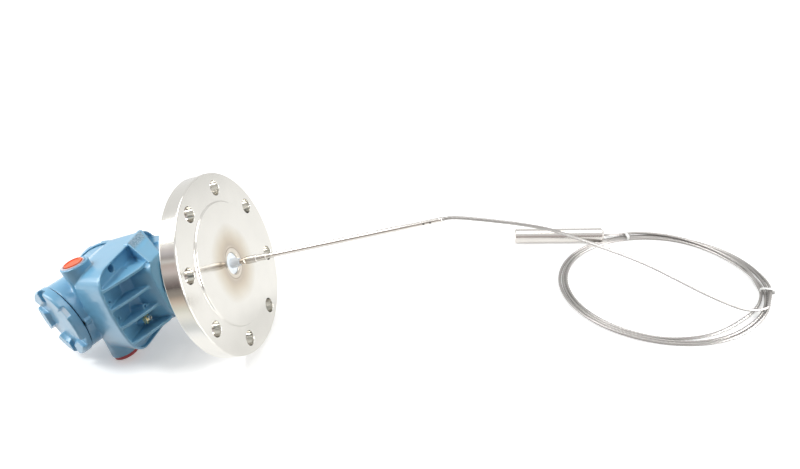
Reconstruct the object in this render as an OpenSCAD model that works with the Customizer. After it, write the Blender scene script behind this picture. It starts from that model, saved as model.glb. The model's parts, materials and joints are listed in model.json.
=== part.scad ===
// Radar level transmitter with a flexible single-lead probe, lying on a table.
// Every rigid piece is drawn in the service frame: z = 0 is the raised face of
// the flange, +z runs up to the head and the probe hangs down along -z.
// lay() then tips the whole instrument on to the flange's rim and a conduit plug.

/* [Flange] */
// Outside diameter of the flange
flange_d = 228.6; // [222:0.1:260]
// Thickness of the flange over its raised face
flange_t = 23.9; // [20:0.1:32]
// Diameter of the raised face
face_d = 157.2; // [140:0.1:168]
// Height of the raised face
face_h = 2; // [1.6:0.1:3]
// Distance from the bolt circle to the flange's rim
bolt_edge = 19.05; // [15:0.05:24]
// Diameter of a bolt hole
bolt_hole_d = 19.1; // [12:0.1:22]
// Number of bolt holes
bolt_count = 8; // [4:4:8]
// Chamfer round the flange's rim
rim_chamfer = 1.2; // [0.5:0.1:2]
// Diameter of the probe opening in the flange
opening_d = 27; // [24:0.1:32]
// Chamfer round the probe opening
opening_chamfer = 2.4; // [0.5:0.1:3]

/* [Tank connection] */
// Diameter of the tube that is welded into the flange
socket_d = 40; // [38:0.1:50]
// Depth of that tube's end below the raised face
socket_depth = 8; // [5:0.5:14]
// Diameter of the neck above the flange
neck_d = 46; // [44:0.5:52]
// Length of the neck
neck_h = 14; // [8:0.5:30]
// Hexagon of the connection across its flats
hex_af = 52; // [50:1:60]
// Height of that hexagon
hex_h = 15; // [10:0.5:20]
// Diameter of the thread on top
thread_d = 48; // [46:0.5:52]
// Length of that thread
thread_h = 20; // [14:0.5:28]
// Leg of the weld between neck and flange
weld_leg = 4; // [2:0.5:6]
// Swivel nut across its flats
nut_af = 62; // [58:1:66]
// Height of the swivel nut
nut_h = 24; // [20:0.5:28]
// Thickness of the swivel nut's top lip
nut_lip = 6; // [4:0.5:8]

/* [Probe] */
// Diameter of the rigid rod
rod_d = 6.4; // [5:0.1:8]
// Length of the rod below the raised face
rod_length = 218; // [150:1:300]
// Diameter of the rod's thick collar
collar_d = 9.6; // [8.5:0.1:12]
// Diameter of the rod's second step
step_d = 8; // [7:0.1:8.4]
// Length of each of these two steps
step_length = 13; // [8:0.5:20]
// Distance from the raised face to the thick collar
collar_start = 19; // [15:0.5:24]
// Diameter of the seal's nose where it leaves its disc
nose_d = 13; // [11:0.5:18]
// Length of the seal's nose below the raised face
nose_length = 9; // [4:0.5:12]
// Depth of the seal's disc behind the raised face
seal_recess = 2.6; // [1:0.1:4]
// Diameter of the wire chuck
chuck_d = 5.8; // [5.2:0.1:8]
// Length of the wire chuck
chuck_length = 51; // [30:1:80]
// Diameter of the wire
wire_d = 4; // [3:0.1:5]

/* [Coil and weight] */
// Outside radius of the coil of wire
coil_r = 140; // [132:1:160]
// Width of the coil over its turns
coil_width = 15; // [12:1:24]
// Diameter of the end weight
weight_d = 22; // [18:0.5:30]
// Length of the end weight
weight_length = 134; // [100:1:200]
// Chamfer of the end weight
weight_chamfer = 3; // [1:0.5:5]

/* [Housing] */
// Height of the crossing of both compartment axes above the housing's foot
apex_h = 101.1; // [99:0.1:106]
// Angle between a compartment's axis and the flange's axis
comp_angle = 61; // [57:1:64]
// Outside diameter of a compartment
comp_d = 92; // [90:1:96]
// Bore of a compartment
comp_bore_d = 80; // [76:1:81]
// Distance from the crossing to the front mouth
front_mouth = 63.5; // [60:0.5:68]
// Distance from the crossing to the rear mouth
rear_mouth = 46; // [44:0.5:54]
// Distance from the crossing to each compartment's floor
comp_floor = 24; // [20:1:27]
// Height of the hood's lower edge above the housing's foot
hood_h = 38.6; // [36:0.1:42]
// Reach of the hood in front of the flange's axis
hood_front = 85; // [80:1:90]
// Reach of the hood behind the flange's axis
hood_rear = 50; // [46:1:58]
// Half width of the hood
hood_side = 62; // [59:1:65]
// Corner radius of the hood
hood_corner = 26; // [20:1:32]
// Wall of the hood
hood_wall = 3; // [2.5:0.5:5]
// Depth of the hollow under the hood
hood_hollow = 4; // [2:0.5:8]
// Reach of the foot in front of the axis
foot_front = 40; // [37:1:44]
// Reach of the foot behind the axis
foot_rear = 36; // [34:1:42]
// Distance between two fins
fin_pitch = 25.5; // [22:0.5:28]
// Thickness of a fin
fin_t = 4; // [3:0.5:6]
// Number of fins on each side
fin_count = 4; // [2:2:4]

/* [Covers] */
// Outside diameter of a cover
cover_d = 95; // [93:1:100]
// Height of a cover without its lugs
cover_h = 6.5; // [5.5:0.5:12]
// Height of a lug
lug_h = 5.5; // [4:0.5:9]
// Number of lugs
lug_count = 6; // [4:1:8]
// Gap between two lugs
lug_gap = 14; // [8:1:20]
// Radial width of a lug
lug_w = 16; // [10:1:20]
// Length of the threaded spigot
spigot_h = 11; // [10.5:0.5:14]
// Gap at the seam, which shows the seal
seam_gap = 1.3; // [0.8:0.1:2]
// Thickness of the cover seal
seal_t = 3; // [2.4:0.1:3.4]

/* [Conduit entries] */
// Distance of the entries in front of the flange's axis
entry_x = 47; // [44:1:50]
// Height of the entries above the housing's foot
entry_h = 87.1; // [84:0.1:90]
// Distance of an entry's mouth from the middle plane
entry_mouth = 66.5; // [64:0.5:70]
// Outside diameter of an entry's boss
entry_d = 35.5; // [34.5:0.5:40]
// Bore of an entry
entry_bore_d = 20.4; // [16:0.1:22]
// Depth of an entry's threaded bore
entry_depth = 24; // [18:1:30]
// Diameter of the upper plug's head
upper_plug_d = 29; // [26:0.5:31]
// Diameter of the lower plug's head
lower_plug_d = 33; // [30:0.5:36]
// Height of a plug's head
plug_head_h = 4.2; // [2.2:0.1:5]
// Length of a plug's shank
plug_shank = 16; // [10:0.5:17]
// Wall of a plug
plug_wall = 1.6; // [1.2:0.1:2.5]

/* [Fits] */
// Clearance between pieces that move on each other
run_gap = 0.1; // [0.05:0.01:0.1]
// Clearance between pieces that are seated without a fit
seat_gap = 0.2; // [0.1:0.05:0.3]
// Turn of the head on the tank connection
head_turn = 1; // [0:0.5:4]

/* [Hidden] */
$fn = 96;
small_fn = 40;
eps = 0.01;

// Colours
cast_blue = [0.36, 0.62, 0.78];
steel = [0.78, 0.77, 0.74];
steel_dark = [0.55, 0.55, 0.54];
white_plastic = [0.9, 0.93, 0.95];
black_rubber = [0.07, 0.08, 0.09];
orange_plastic = [0.93, 0.33, 0.13];
red_plastic = [0.72, 0.16, 0.16];
brass_tone = [0.8, 0.68, 0.4];

// Flange
bolt_circle_d = flange_d - 2 * bolt_edge;

// Heights along the flange's axis
hex_z = flange_t + neck_h;
thread_z = hex_z + hex_h;
conn_top = thread_z + thread_h;
spigot_collar_h = 4;
spigot_z = conn_top + run_gap;
nut_top = spigot_z + spigot_collar_h + run_gap + nut_lip;
foot_z = nut_top + 1.3;
spigot_tube_d = 34;
spigot_collar_d = thread_d - 3;
spigot_top = foot_z + 20;
conn_bore_d = 25;
tail_h = 10;
tail_d = conn_bore_d - 2 * run_gap;
ring_seal_t = 2.5;
insulator_z = 22;
insulator_top = spigot_z - tail_h - seat_gap;
rod_top = insulator_top - 4;
pin_d = 3;
pin_depth = 10;

// Housing
mouth_chamfer = 1.2;
apex_z = foot_z + apex_h;
hood_z = foot_z + hood_h;
entry_z = foot_z + entry_h;
shoulder_z = entry_z + 0.5;
fin_first = -(fin_count - 1) / 2 * fin_pitch;
foot_side = -fin_first + fin_t / 2 - 0.6;
fin_top = hood_z + hood_hollow + 2;
fin_foot = 8;
hull_fn = 32;
hood_bow = 3;
neck_flare = 12;
gusset_x = 5;
gusset_w = 38;
gusset_edge = 2;
gusset_sink = 1.2;
pip_y = 20;
conductor_bore_d = 12;
entry_seat_h = plug_head_h - 2;
passage_d = 14;
ground_x = 50;
ground_y = -fin_pitch;
ground_z = hood_z - 7;
spare_y = -fin_pitch / 2 + fin_t / 2 + 1.6;
ground_boss_d = 12;
ground_boss_h = 14;
spare_boss_d = 9;
spare_boss_top = 20;
spare_boss_tip = 9;
spare_hole_d = 4;
spare_hole_h = 12;
drain_d = 10;
drain_x = entry_x - 1;
drain_y = hood_side - 13;
pip_d = 3;
pip_x = hood_front - 9;
shoulder_rear = 4;
shoulder_front = 18;
shoulder_side = 2;
shoulder_corner = 3;
crown_rear = 12;
crown_front = 45;
crown_side = 7;
crown_corner = 6;
plate_t = 3;
jam_angle = 0;
jam_boss_d = 9;
jam_boss_h = 14;

// Lean of the lying instrument: the flange's upper rim and the lower plug's
// head both touch the table. One support function, solved by repetition.
plug_face_y = -(entry_mouth + plug_head_h);
plug_drop = -entry_x * sin(head_turn) + plug_face_y * cos(head_turn);
function edge_factor(t) = sqrt(1 - pow(cos(head_turn) * cos(t), 2));
function lean_step(t, n) = n == 0 ? t : lean_step(
    atan((flange_d / 2 + plug_drop + lower_plug_d / 2 * (sin(t) - edge_factor(t)) / cos(t))
        / (entry_z - flange_t + rim_chamfer + lower_plug_d / 2)), n - 1);
lean = lean_step(16, 12);
rim_z = flange_t - rim_chamfer;
hub_z = flange_d / 2 * cos(lean) + rim_z * sin(lean);
hub_x = rim_z * cos(lean) - flange_d / 2 * sin(lean);

// Middle of the transmitter's length, between the front cover's rim and the chuck
cover_top = front_mouth + seam_gap + cover_h + lug_h;
cap_axis_x = -cos(comp_angle) * cos(lean) + sin(comp_angle) * sin(head_turn) * sin(lean);
function cap_left(r, h) = hub_x - apex_z * cos(lean) + h * cap_axis_x - r * sqrt(1 - pow(cap_axis_x, 2));
left_x = min(cap_left(cover_d / 2 - 2, cover_top), cap_left(cover_d / 2, cover_top - 2));
chuck_x = hub_x + (rod_length + chuck_length) * cos(lean);
right_x = max(chuck_x + (chuck_d / 2 - 0.5) * sin(lean),
    chuck_x - 0.5 * cos(lean) + chuck_d / 2 * sin(lean));
middle_x = (left_x + right_x) / 2;

// The instrument's place on the table
module lay()
    translate([hub_x - middle_x, 0, hub_z])
        rotate([0, -lean, 0])
            rotate([90, 0, -90])
                children();

module on_head() lay() rotate([0, 0, -head_turn]) children();

// Local frames of the two compartments, +z out of the mouth
module front_frame() translate([0, 0, apex_z]) rotate([0, comp_angle, 0]) children();
module rear_frame() translate([0, 0, apex_z]) rotate([0, -comp_angle, 0]) children();

// Local frame of a conduit entry, +z out of its mouth
module entry_frame(side)
    translate([entry_x, 0, entry_z]) rotate([-90 * side, 0, 0]) children();

// Plate with round corners, from x0 to x1 and half as wide as side
module round_plate(x0, x1, side, r, h)
    linear_extrude(h) {
        translate([x0 + r, -side]) square([x1 - x0 - 2 * r, 2 * side]);
        translate([x0, r - side]) square([x1 - x0, 2 * (side - r)]);
        for (x = [x0 + r, x1 - r], y = [r - side, side - r])
            translate([x, y]) circle(r, $fn = small_fn);
    }

// Profile in the x-z plane, extruded between two values of y
module side_profile(points, y0, y1)
    translate([0, y1, 0]) rotate([90, 0, 0]) linear_extrude(y1 - y0) polygon(points);

// Hexagon with its flats af apart and its corners turned off
module hexagon(af, h)
    intersection() {
        cylinder(d = af / cos(30), h = h, $fn = 6);
        union() {
            cylinder(d1 = af * 1.06, d2 = af * 1.16, h = h / 8);
            translate([0, 0, h / 8]) cylinder(d = af * 1.16, h = h * 3 / 4);
            translate([0, 0, h * 7 / 8]) cylinder(d1 = af * 1.16, d2 = af * 1.06, h = h / 8);
        }
    }

// Socket screw, +z out of its head, with its head on z = 0
module cap_screw(d, length, head_d, head_h)
    difference() {
        union() {
            translate([0, 0, -length]) cylinder(d = d, h = length + eps, $fn = small_fn);
            cylinder(d = head_d, h = head_h, $fn = small_fn);
        }
        translate([0, 0, head_h / 2]) cylinder(d = head_d / 2, h = head_h, $fn = 6);
    }

// ---------------------------------------------------------------- flange group

module flange()
    color(steel) lay() difference() {
        rotate_extrude($fn = 180) polygon([
            [0, 0], [face_d / 2 - 1, 0], [face_d / 2, face_h],
            [flange_d / 2 - rim_chamfer, face_h], [flange_d / 2, face_h + rim_chamfer],
            [flange_d / 2, flange_t - rim_chamfer], [flange_d / 2 - rim_chamfer, flange_t],
            [0, flange_t]]);
        for (i = [0 : bolt_count - 1])
            rotate([0, 0, (i + 0.5) * 360 / bolt_count])
                translate([bolt_circle_d / 2, 0, -1]) cylinder(d = bolt_hole_d, h = flange_t + 2);
        translate([0, 0, -1]) cylinder(d = opening_d, h = flange_t);
        translate([0, 0, -eps])
            cylinder(d1 = opening_d + 2 * opening_chamfer, d2 = opening_d, h = opening_chamfer / 2);
        translate([0, 0, socket_depth]) cylinder(d = socket_d, h = flange_t);
    }

module tank_connection()
    color(steel) lay() difference() {
        union() {
            translate([0, 0, socket_depth])
                cylinder(d = socket_d - 2 * seat_gap / 2, h = flange_t - socket_depth + eps);
            translate([0, 0, flange_t]) cylinder(d = neck_d, h = neck_h + eps);
            translate([0, 0, hex_z]) hexagon(hex_af, hex_h);
            translate([0, 0, thread_z - eps]) cylinder(d = thread_d, h = thread_h + eps);
        }
        translate([0, 0, socket_depth - 1]) cylinder(d = conn_bore_d, h = conn_top);
        translate([0, 0, conn_top - tail_h / 2 - ring_seal_t / 2])
            cylinder(d = conn_bore_d + ring_seal_t, h = ring_seal_t);
    }

module weld_bead()
    color(steel_dark) lay() translate([0, 0, flange_t]) rotate_extrude()
        polygon([[neck_d / 2, 0], [neck_d / 2 + weld_leg, 0],
            [neck_d / 2 + weld_leg / 2.5, weld_leg / 2.5], [neck_d / 2, weld_leg]]);

module swivel_nut()
    color(steel) lay() difference() {
        translate([0, 0, nut_top - nut_h]) hexagon(nut_af, nut_h);
        translate([0, 0, nut_top - nut_h - 1])
            cylinder(d = thread_d + seat_gap, h = nut_h - nut_lip + 1);
        translate([0, 0, nut_top - nut_lip - 1])
            cylinder(d = spigot_tube_d + 2 * seat_gap, h = nut_lip + 2);
    }

module seal_bushing()
    color(white_plastic) lay() difference() {
        union() {
            translate([0, 0, seal_recess])
                cylinder(d = opening_d - 2 * seat_gap, h = socket_depth - seal_recess);
            translate([0, 0, socket_depth - eps])
                cylinder(d = conn_bore_d - 2 * run_gap, h = insulator_z - socket_depth + eps);
            translate([0, 0, -nose_length])
                cylinder(d1 = rod_d + 3, d2 = nose_d, h = nose_length + seal_recess + eps);
        }
        translate([0, 0, -nose_length - 1])
            cylinder(d = rod_d + 2 * run_gap, h = insulator_z + nose_length + 2);
    }

module insulator()
    color(white_plastic) lay() translate([0, 0, insulator_z + run_gap]) difference() {
        cylinder(d = conn_bore_d - 2 * run_gap, h = insulator_top - insulator_z - run_gap);
        translate([0, 0, -1]) cylinder(d = rod_d + 2 * run_gap, h = insulator_top);
    }

// Rigid rod, turned from the chuck's end up to the inside of the tank connection
module probe_rod()
    color(steel) lay() {
        collar_end = collar_start + step_length;
        step_end = collar_end + step_length;
        difference() {
            rotate_extrude($fn = small_fn) polygon([
                [0, rod_top], [rod_d / 2, rod_top],
                [rod_d / 2, -collar_start + 5],
                [collar_d / 2, -collar_start], [collar_d / 2, -collar_end],
                [step_d / 2, -collar_end - 0.8], [step_d / 2, -step_end],
                [rod_d / 2, -step_end - 0.8],
                [rod_d / 2, -rod_length + 0.6], [rod_d / 2 - 0.6, -rod_length],
                [0, -rod_length]]);
            translate([0, 0, rod_top - pin_depth])
                cylinder(d = pin_d + 2 * run_gap, h = pin_depth + 1, $fn = small_fn);
        }
    }

// Sleeve that grips the wire, with a lip at its mouth
module wire_chuck()
    color(steel) lay() translate([0, 0, -rod_length - chuck_length]) difference() {
        rotate_extrude($fn = small_fn) polygon([
            [0, 0], [chuck_d / 2 - 0.5, 0], [chuck_d / 2, 0.5], [chuck_d / 2, 3],
            [chuck_d / 2 - 0.25, 3.4], [chuck_d / 2 - 0.25, chuck_length - 12],
            [chuck_d / 2, chuck_length - 11.6], [chuck_d / 2, chuck_length], [0, chuck_length]]);
        for (z = chuck_screw_z)
            translate([0, 0, z]) rotate([0, 90, 0]) cylinder(d = chuck_screw_d, h = chuck_d, $fn = small_fn);
    }
chuck_screw_z = [14, 22];
chuck_screw_d = 2.6;

module chuck_screws()
    color(steel_dark) lay() for (z = chuck_screw_z)
        translate([0, 0, z - rod_length - chuck_length]) rotate([0, 90, 0]) difference() {
            cylinder(d = chuck_screw_d - run_gap, h = chuck_d / 2 - 0.3, $fn = small_fn);
            translate([0, 0, chuck_d / 2 - 1.4]) cylinder(d = chuck_screw_d / 2, h = 2, $fn = 6);
        }

// ------------------------------------------------------------------ head group

module head_spigot()
    color(steel) on_head() difference() {
        union() {
            translate([0, 0, spigot_z - tail_h]) cylinder(d = tail_d, h = tail_h + eps);
            translate([0, 0, spigot_z]) cylinder(d = spigot_collar_d, h = spigot_collar_h);
            translate([0, 0, spigot_z]) cylinder(d = spigot_tube_d, h = spigot_top - spigot_z);
        }
        translate([0, 0, spigot_z - tail_h - 1]) cylinder(d = pin_d + 8, h = spigot_top);
    }

module head_seal()
    color(black_rubber) lay() translate([0, 0, conn_top - tail_h / 2]) difference() {
        cylinder(d = conn_bore_d + ring_seal_t - run_gap, h = ring_seal_t - run_gap, center = true);
        cylinder(d = tail_d + 2 * run_gap, h = ring_seal_t + 1, center = true);
    }

module centre_conductor()
    color(brass_tone) on_head() {
        pin_z = rod_top - pin_depth + 1;
        translate([0, 0, pin_z]) cylinder(d = pin_d, h = spigot_top - 2 - pin_z, $fn = small_fn);
        translate([0, 0, spigot_z]) cylinder(d = pin_d + 8 - 2 * seat_gap, h = 6, $fn = small_fn);
    }

// Points of an arc round a centre
function arc(cx, cy, r, a0, a1, n) =
    [for (i = [0 : n]) let (a = a0 + (a1 - a0) * i / n) [cx + r * cos(a), cy + r * sin(a)]];

// Plan of the hood at one height: round corners and a slightly bowed front
function hood_outline(rear, front, side, r) = let (
        c = side - r, big = (c * c + hood_bow * hood_bow) / (2 * hood_bow), w = asin(c / big),
        cx = front - r * cos(w), cy = c - r * sin(w), half = concat(
            arc(front + hood_bow - big, 0, big, w / 8, w, 3), arc(cx, cy, r, w + 12, 90, 6),
            arc(r - rear, cy, r, 90, 180, 6)))
    concat(half, [for (i = [len(half) - 1 : -1 : 0]) [half[i][0], -half[i][1]]]);

module hood_plate(rear, front, side, r, h) linear_extrude(h) polygon(hood_outline(rear, front, side, r));

// Hood, shoulders and both compartments, still solid
module housing_form() {
    hull() {
        translate([0, 0, hood_z]) hood_plate(hood_rear, hood_front, hood_side, hood_corner, plate_t);
        translate([0, 0, shoulder_z - 2])
            hood_plate(hood_rear - shoulder_rear, hood_front - shoulder_front, hood_side - shoulder_side,
                hood_corner - shoulder_corner, 2);
    }
    hull() {
        translate([0, 0, shoulder_z - 3])
            hood_plate(hood_rear - shoulder_rear - 1, hood_front - shoulder_front - 1,
                hood_side - shoulder_side - 0.5, hood_corner - shoulder_corner, 1);
        translate([0, 0, apex_z])
            hood_plate(hood_rear - crown_rear, hood_front - crown_front, hood_side - crown_side,
                hood_corner - crown_corner, 1);
        front_frame() cylinder(d = comp_d - 1, h = comp_floor - 4, $fn = hull_fn);
        rear_frame() cylinder(d = comp_d - 1, h = comp_floor - 4, $fn = hull_fn);
    }
    front_frame() cylinder(d = comp_d, h = front_mouth);
    rear_frame() cylinder(d = comp_d, h = rear_mouth);
}

// Neck of the casting: straight above the foot, flaring into the hood
module housing_neck() {
    top = hood_z + hood_hollow + 2;
    hull() {
        translate([0, 0, foot_z]) hood_plate(foot_rear, foot_front - 1, foot_side, 10, 2);
        translate([0, 0, hood_z - neck_flare]) hood_plate(foot_rear, foot_front + 1, foot_side, 12, 2);
    }
    hull() {
        translate([0, 0, hood_z - neck_flare + 1]) hood_plate(foot_rear - 1, foot_front, foot_side - 1, 12, 1);
        translate([0, 0, top]) hood_plate(foot_rear + 4, foot_front + 9, foot_side + 3, 14, 1);
    }
}

// Free edge of a fin, a hollow curve from the hood's rim down to the foot
function bend(a, b, c, t) = (1 - t) * (1 - t) * a + 2 * t * (1 - t) * b + t * t * c;
function fin_edge(x0, x1, n) = let (
        a = [x0, hood_z + 0.5], c = [x1, foot_z + fin_foot], b = [x1 + (x0 - x1) * 0.64, hood_z - 16])
    [for (i = [0 : n]) bend(a, b, c, i / n)];

// Parallel fins between the hood's underside and the neck, front and rear
module fins()
    for (i = [0 : fin_count - 1]) {
        y = fin_first + i * fin_pitch;
        tip = hood_front - 1 + hood_bow * (1 - pow(y / foot_side, 2));
        side_profile(concat(fin_edge(tip, foot_front, 10),
            [[foot_front - 12, foot_z + fin_foot], [foot_front - 12, fin_top], [tip - 4, fin_top]]),
            y - fin_t / 2, y + fin_t / 2);
        side_profile([[-hood_rear + 1, hood_z + 0.5], [-foot_rear, foot_z + fin_foot],
            [-foot_rear + 12, foot_z + fin_foot], [-foot_rear + 12, fin_top], [-hood_rear + 4, fin_top]],
            y - fin_t / 2, y + fin_t / 2);
    }

// Slanting gusset on one side, from the hood's rim to the front of the foot,
// with a raised edge in front and a sunk face behind it
module gusset(side) {
    gusset_part(side, 0, gusset_edge, 0);
    gusset_part(side, gusset_edge - 0.2, gusset_w, gusset_sink);
}
module gusset_part(side, from, to, sink)
    intersection() {
        side_profile([
            [gusset_x - from, hood_z], [foot_front - 7 - from * 0.7, foot_z + 0.6],
            [foot_front - 7 - to * 0.7, foot_z + 0.6], [gusset_x - to, hood_z],
            [gusset_x - to, fin_top], [gusset_x - from, fin_top]], -hood_side, hood_side);
        rotate([90, 0, 90]) linear_extrude(2 * hood_front, center = true) polygon([
            [side * (foot_side - 8), foot_z], [side * (foot_side + 0.4 - sink), foot_z],
            [side * (hood_side - hood_wall + 0.5 - sink), hood_z + 0.5],
            [side * (hood_side - hood_wall + 0.5 - sink), fin_top + 1],
            [side * (foot_side - 8), fin_top + 1]]);
    }

// Boss of one conduit entry, slightly wider at its mouth
module entry_boss(side)
    entry_frame(side) {
        cylinder(d = entry_d - 2.4, h = entry_mouth - 5);
        translate([0, 0, entry_mouth - 24]) cylinder(d1 = entry_d - 2.4, d2 = entry_d, h = 22);
        translate([0, 0, entry_mouth - 2 - eps]) cylinder(d = entry_d, h = 1.2 + eps);
        translate([0, 0, entry_mouth - 0.8 - eps]) cylinder(d1 = entry_d, d2 = entry_d - 1.6, h = 0.8 + eps);
    }

// Bosses of the outer earth terminal under the hood, +z away from the hood
module ground_frame(y) translate([ground_x, y, ground_z]) rotate([180, 0, 0]) children();

module housing()
    color(cast_blue) on_head() difference() {
        union() {
            difference() {
                housing_form();
                translate([0, 0, hood_z - 1]) hood_plate(hood_rear - hood_wall, hood_front - hood_wall,
                    hood_side - hood_wall, hood_corner - hood_wall, hood_hollow + 1);
            }
            housing_neck();
            fins();
            for (side = [-1, 1]) gusset(side);
            for (side = [-1, 1]) entry_boss(side);
            ground_frame(ground_y) translate([0, 0, -ground_boss_h])
                cylinder(d = ground_boss_d, h = ground_boss_h, $fn = small_fn);
            ground_frame(spare_y) translate([0, 0, -spare_boss_top])
                cylinder(d = spare_boss_d, h = spare_boss_top + spare_boss_tip, $fn = small_fn);
            front_frame() jam_place() cylinder(d = jam_boss_d, h = jam_boss_h, $fn = small_fn);
            rear_frame() jam_place(rear_mouth) cylinder(d = jam_boss_d, h = jam_boss_h, $fn = small_fn);
        }
        front_frame() compartment_bore(front_mouth);
        rear_frame() compartment_bore(rear_mouth);
        for (side = [-1, 1]) entry_frame(side) {
            translate([0, 0, entry_mouth - entry_depth]) cylinder(d = entry_bore_d, h = entry_depth + 1);
            translate([0, 0, 1]) cylinder(d = passage_d, h = entry_mouth);
        }
        entry_frame(1) translate([0, 0, entry_mouth - entry_seat_h])
            cylinder(d = upper_plug_d + 2 * seat_gap, h = plug_head_h);
        translate([0, 0, foot_z - 1])
            cylinder(d = spigot_tube_d + seat_gap, h = spigot_top - foot_z + 1 + seat_gap);
        translate([0, 0, foot_z]) cylinder(d = conductor_bore_d, h = apex_z - foot_z + 5);
        rear_frame() cylinder(d = conductor_bore_d - 2, h = comp_floor + 1);
        ground_frame(ground_y) translate([0, 0, -12]) cylinder(d = ground_thread_d, h = 14, $fn = small_fn);
        ground_frame(spare_y) translate([0, 0, spare_boss_tip - spare_hole_h])
            cylinder(d = spare_hole_d, h = spare_hole_h + 2, $fn = small_fn);
        translate([drain_x, drain_y, hood_z]) cylinder(d = drain_d, h = hood_hollow + drain_d + 2, $fn = small_fn);
        for (y = [pip_y, pip_y - fin_pitch + 2])
            translate([pip_x, y, hood_z]) cylinder(d = pip_d, h = hood_hollow + 2 + pip_d, $fn = small_fn);
        front_frame() jam_place() jam_hole();
        rear_frame() jam_place(rear_mouth) jam_hole();
        front_frame() block_screw_places() fixing_hole();
        rear_frame() module_screw_places() fixing_hole();
        front_frame() inner_ground_place() fixing_hole();
    }

module fixing_hole()
    translate([0, 0, comp_floor - 8]) cylinder(d = fixing_d, h = 10, $fn = small_fn);
ground_thread_d = 6;
fixing_d = 3.4;

// Bore of one compartment with the seat of its seal
module compartment_bore(mouth) {
    translate([0, 0, comp_floor]) cylinder(d = comp_bore_d, h = mouth - comp_floor + 1);
    translate([0, 0, mouth - mouth_chamfer])
        cylinder(d = seal_mid_d + seal_t + 0.4, h = mouth_chamfer + 1);
}
seal_mid_d = comp_bore_d + 5.4;

// Place of the small jam screw beside a cover's seam, +z along its boss
module jam_place(mouth = front_mouth)
    rotate([0, 0, jam_angle]) translate([comp_d / 2 - 0.5, 0, mouth - jam_boss_h - 0.6]) children();
module jam_hole()
    translate([0, 0, jam_boss_h - 9]) cylinder(d = jam_screw_d, h = 12, $fn = small_fn);
jam_screw_d = 4;

module jam_screw()
    translate([0, 0, jam_boss_h - 8.8]) difference() {
        cylinder(d = jam_screw_d - run_gap, h = 8.4, $fn = small_fn);
        translate([0, 0, 6.4]) cylinder(d = jam_screw_d / 2, h = 3, $fn = 6);
    }
module terminal_cover_screw()
    color(steel_dark) on_head() front_frame() jam_place() jam_screw();
module electronics_cover_screw()
    color(steel_dark) on_head() rear_frame() jam_place(rear_mouth) jam_screw();

// One screwed cover with its lugs, +z outwards, z = 0 on the housing's mouth
module cover() {
    lug_top = seam_gap + cover_h + lug_h;
    lug_in = cover_d / 2 - lug_w;
    difference() {
        rotate_extrude() polygon([
            [0, seam_gap + cover_h - 4], [comp_bore_d / 2 - 6, seam_gap + cover_h - 4],
            [comp_bore_d / 2 - 6, -spigot_h], [comp_bore_d / 2 - run_gap, -spigot_h],
            [comp_bore_d / 2 - run_gap, 0], [comp_bore_d / 2 - run_gap, seam_gap],
            [cover_d / 2, seam_gap], [cover_d / 2, lug_top - 2], [cover_d / 2 - 2, lug_top],
            [lug_in + 2, lug_top], [lug_in, lug_top - 2],
            [lug_in - 2, seam_gap + cover_h], [0, seam_gap + cover_h]]);
        for (i = [0 : lug_count - 1]) rotate([0, 0, (i + 0.5) * 360 / lug_count])
            translate([lug_in - 6, -lug_gap / 2, seam_gap + cover_h - 0.5])
                cube([lug_w + 10, lug_gap, lug_h + 2]);
        rotate_extrude() translate([seal_mid_d / 2, seal_mid_z])
            circle(d = seal_t + 2 * run_gap, $fn = small_fn);
    }
}
seal_mid_z = seam_gap / 2;

module cover_seal()
    rotate_extrude() translate([seal_mid_d / 2, seal_mid_z]) circle(d = seal_t, $fn = small_fn);

module terminal_cover()
    color(cast_blue) on_head() front_frame() translate([0, 0, front_mouth]) cover();
module terminal_cover_seal()
    color(black_rubber) on_head() front_frame() translate([0, 0, front_mouth]) cover_seal();
module electronics_cover()
    color(cast_blue) on_head() rear_frame() translate([0, 0, rear_mouth]) cover();
module electronics_cover_seal()
    color(black_rubber) on_head() rear_frame() translate([0, 0, rear_mouth]) cover_seal();

// ------------------------------------------------- inside the two compartments

block_d = 66;
block_h = 7;
block_screw_r = 26;
barrier_h = 7;
barrier_t = 2;
terminal_pitch = 12;
module block_screw_places()
    for (a = [30, 150]) rotate([0, 0, a]) translate([block_screw_r, 0, 0]) children();
module inner_ground_place() rotate([0, 0, 250]) translate([36, 0, 0]) children();

module terminal_block()
    color(black_rubber) on_head() front_frame() translate([0, 0, comp_floor]) difference() {
        union() {
            cylinder(d = block_d, h = block_h);
            for (i = [-1.5 : 1.5]) translate([-8, i * terminal_pitch - barrier_t / 2, block_h - eps])
                cube([16, barrier_t, barrier_h + eps]);
        }
        block_screw_places() translate([0, 0, -1]) cylinder(d = fixing_d + 0.2, h = block_h + 2, $fn = small_fn);
        for (i = [-1 : 1]) translate([0, i * terminal_pitch, block_h - 5])
            cylinder(d = fixing_d + 0.1, h = 6, $fn = small_fn);
    }

module terminal_screws()
    color(steel) on_head() front_frame() translate([0, 0, comp_floor + block_h + eps]) {
        for (i = [-1 : 1]) translate([0, i * terminal_pitch, 0]) cap_screw(3.2, 4.8, 6.5, 3);
        block_screw_places() cap_screw(3.2, block_h + 6, 6, 3);
    }

module inner_ground_screw()
    color(steel) on_head() front_frame() inner_ground_place()
        translate([0, 0, comp_floor + eps]) cap_screw(3.2, 7, 5, 3);

module_d = 70;
module_h = 16;
module_screw_r = 30;
module module_screw_places()
    for (a = [0, 120, 240]) rotate([0, 0, a + 60]) translate([module_screw_r, 0, 0]) children();

module electronics_module()
    color([0.2, 0.22, 0.24]) on_head() rear_frame() translate([0, 0, comp_floor]) difference() {
        union() {
            cylinder(d = module_d, h = module_h * 0.6);
            cylinder(d = module_d - 20, h = module_h);
        }
        module_screw_places() translate([0, 0, -1]) cylinder(d = fixing_d + 0.2, h = module_h + 2, $fn = small_fn);
    }

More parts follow.
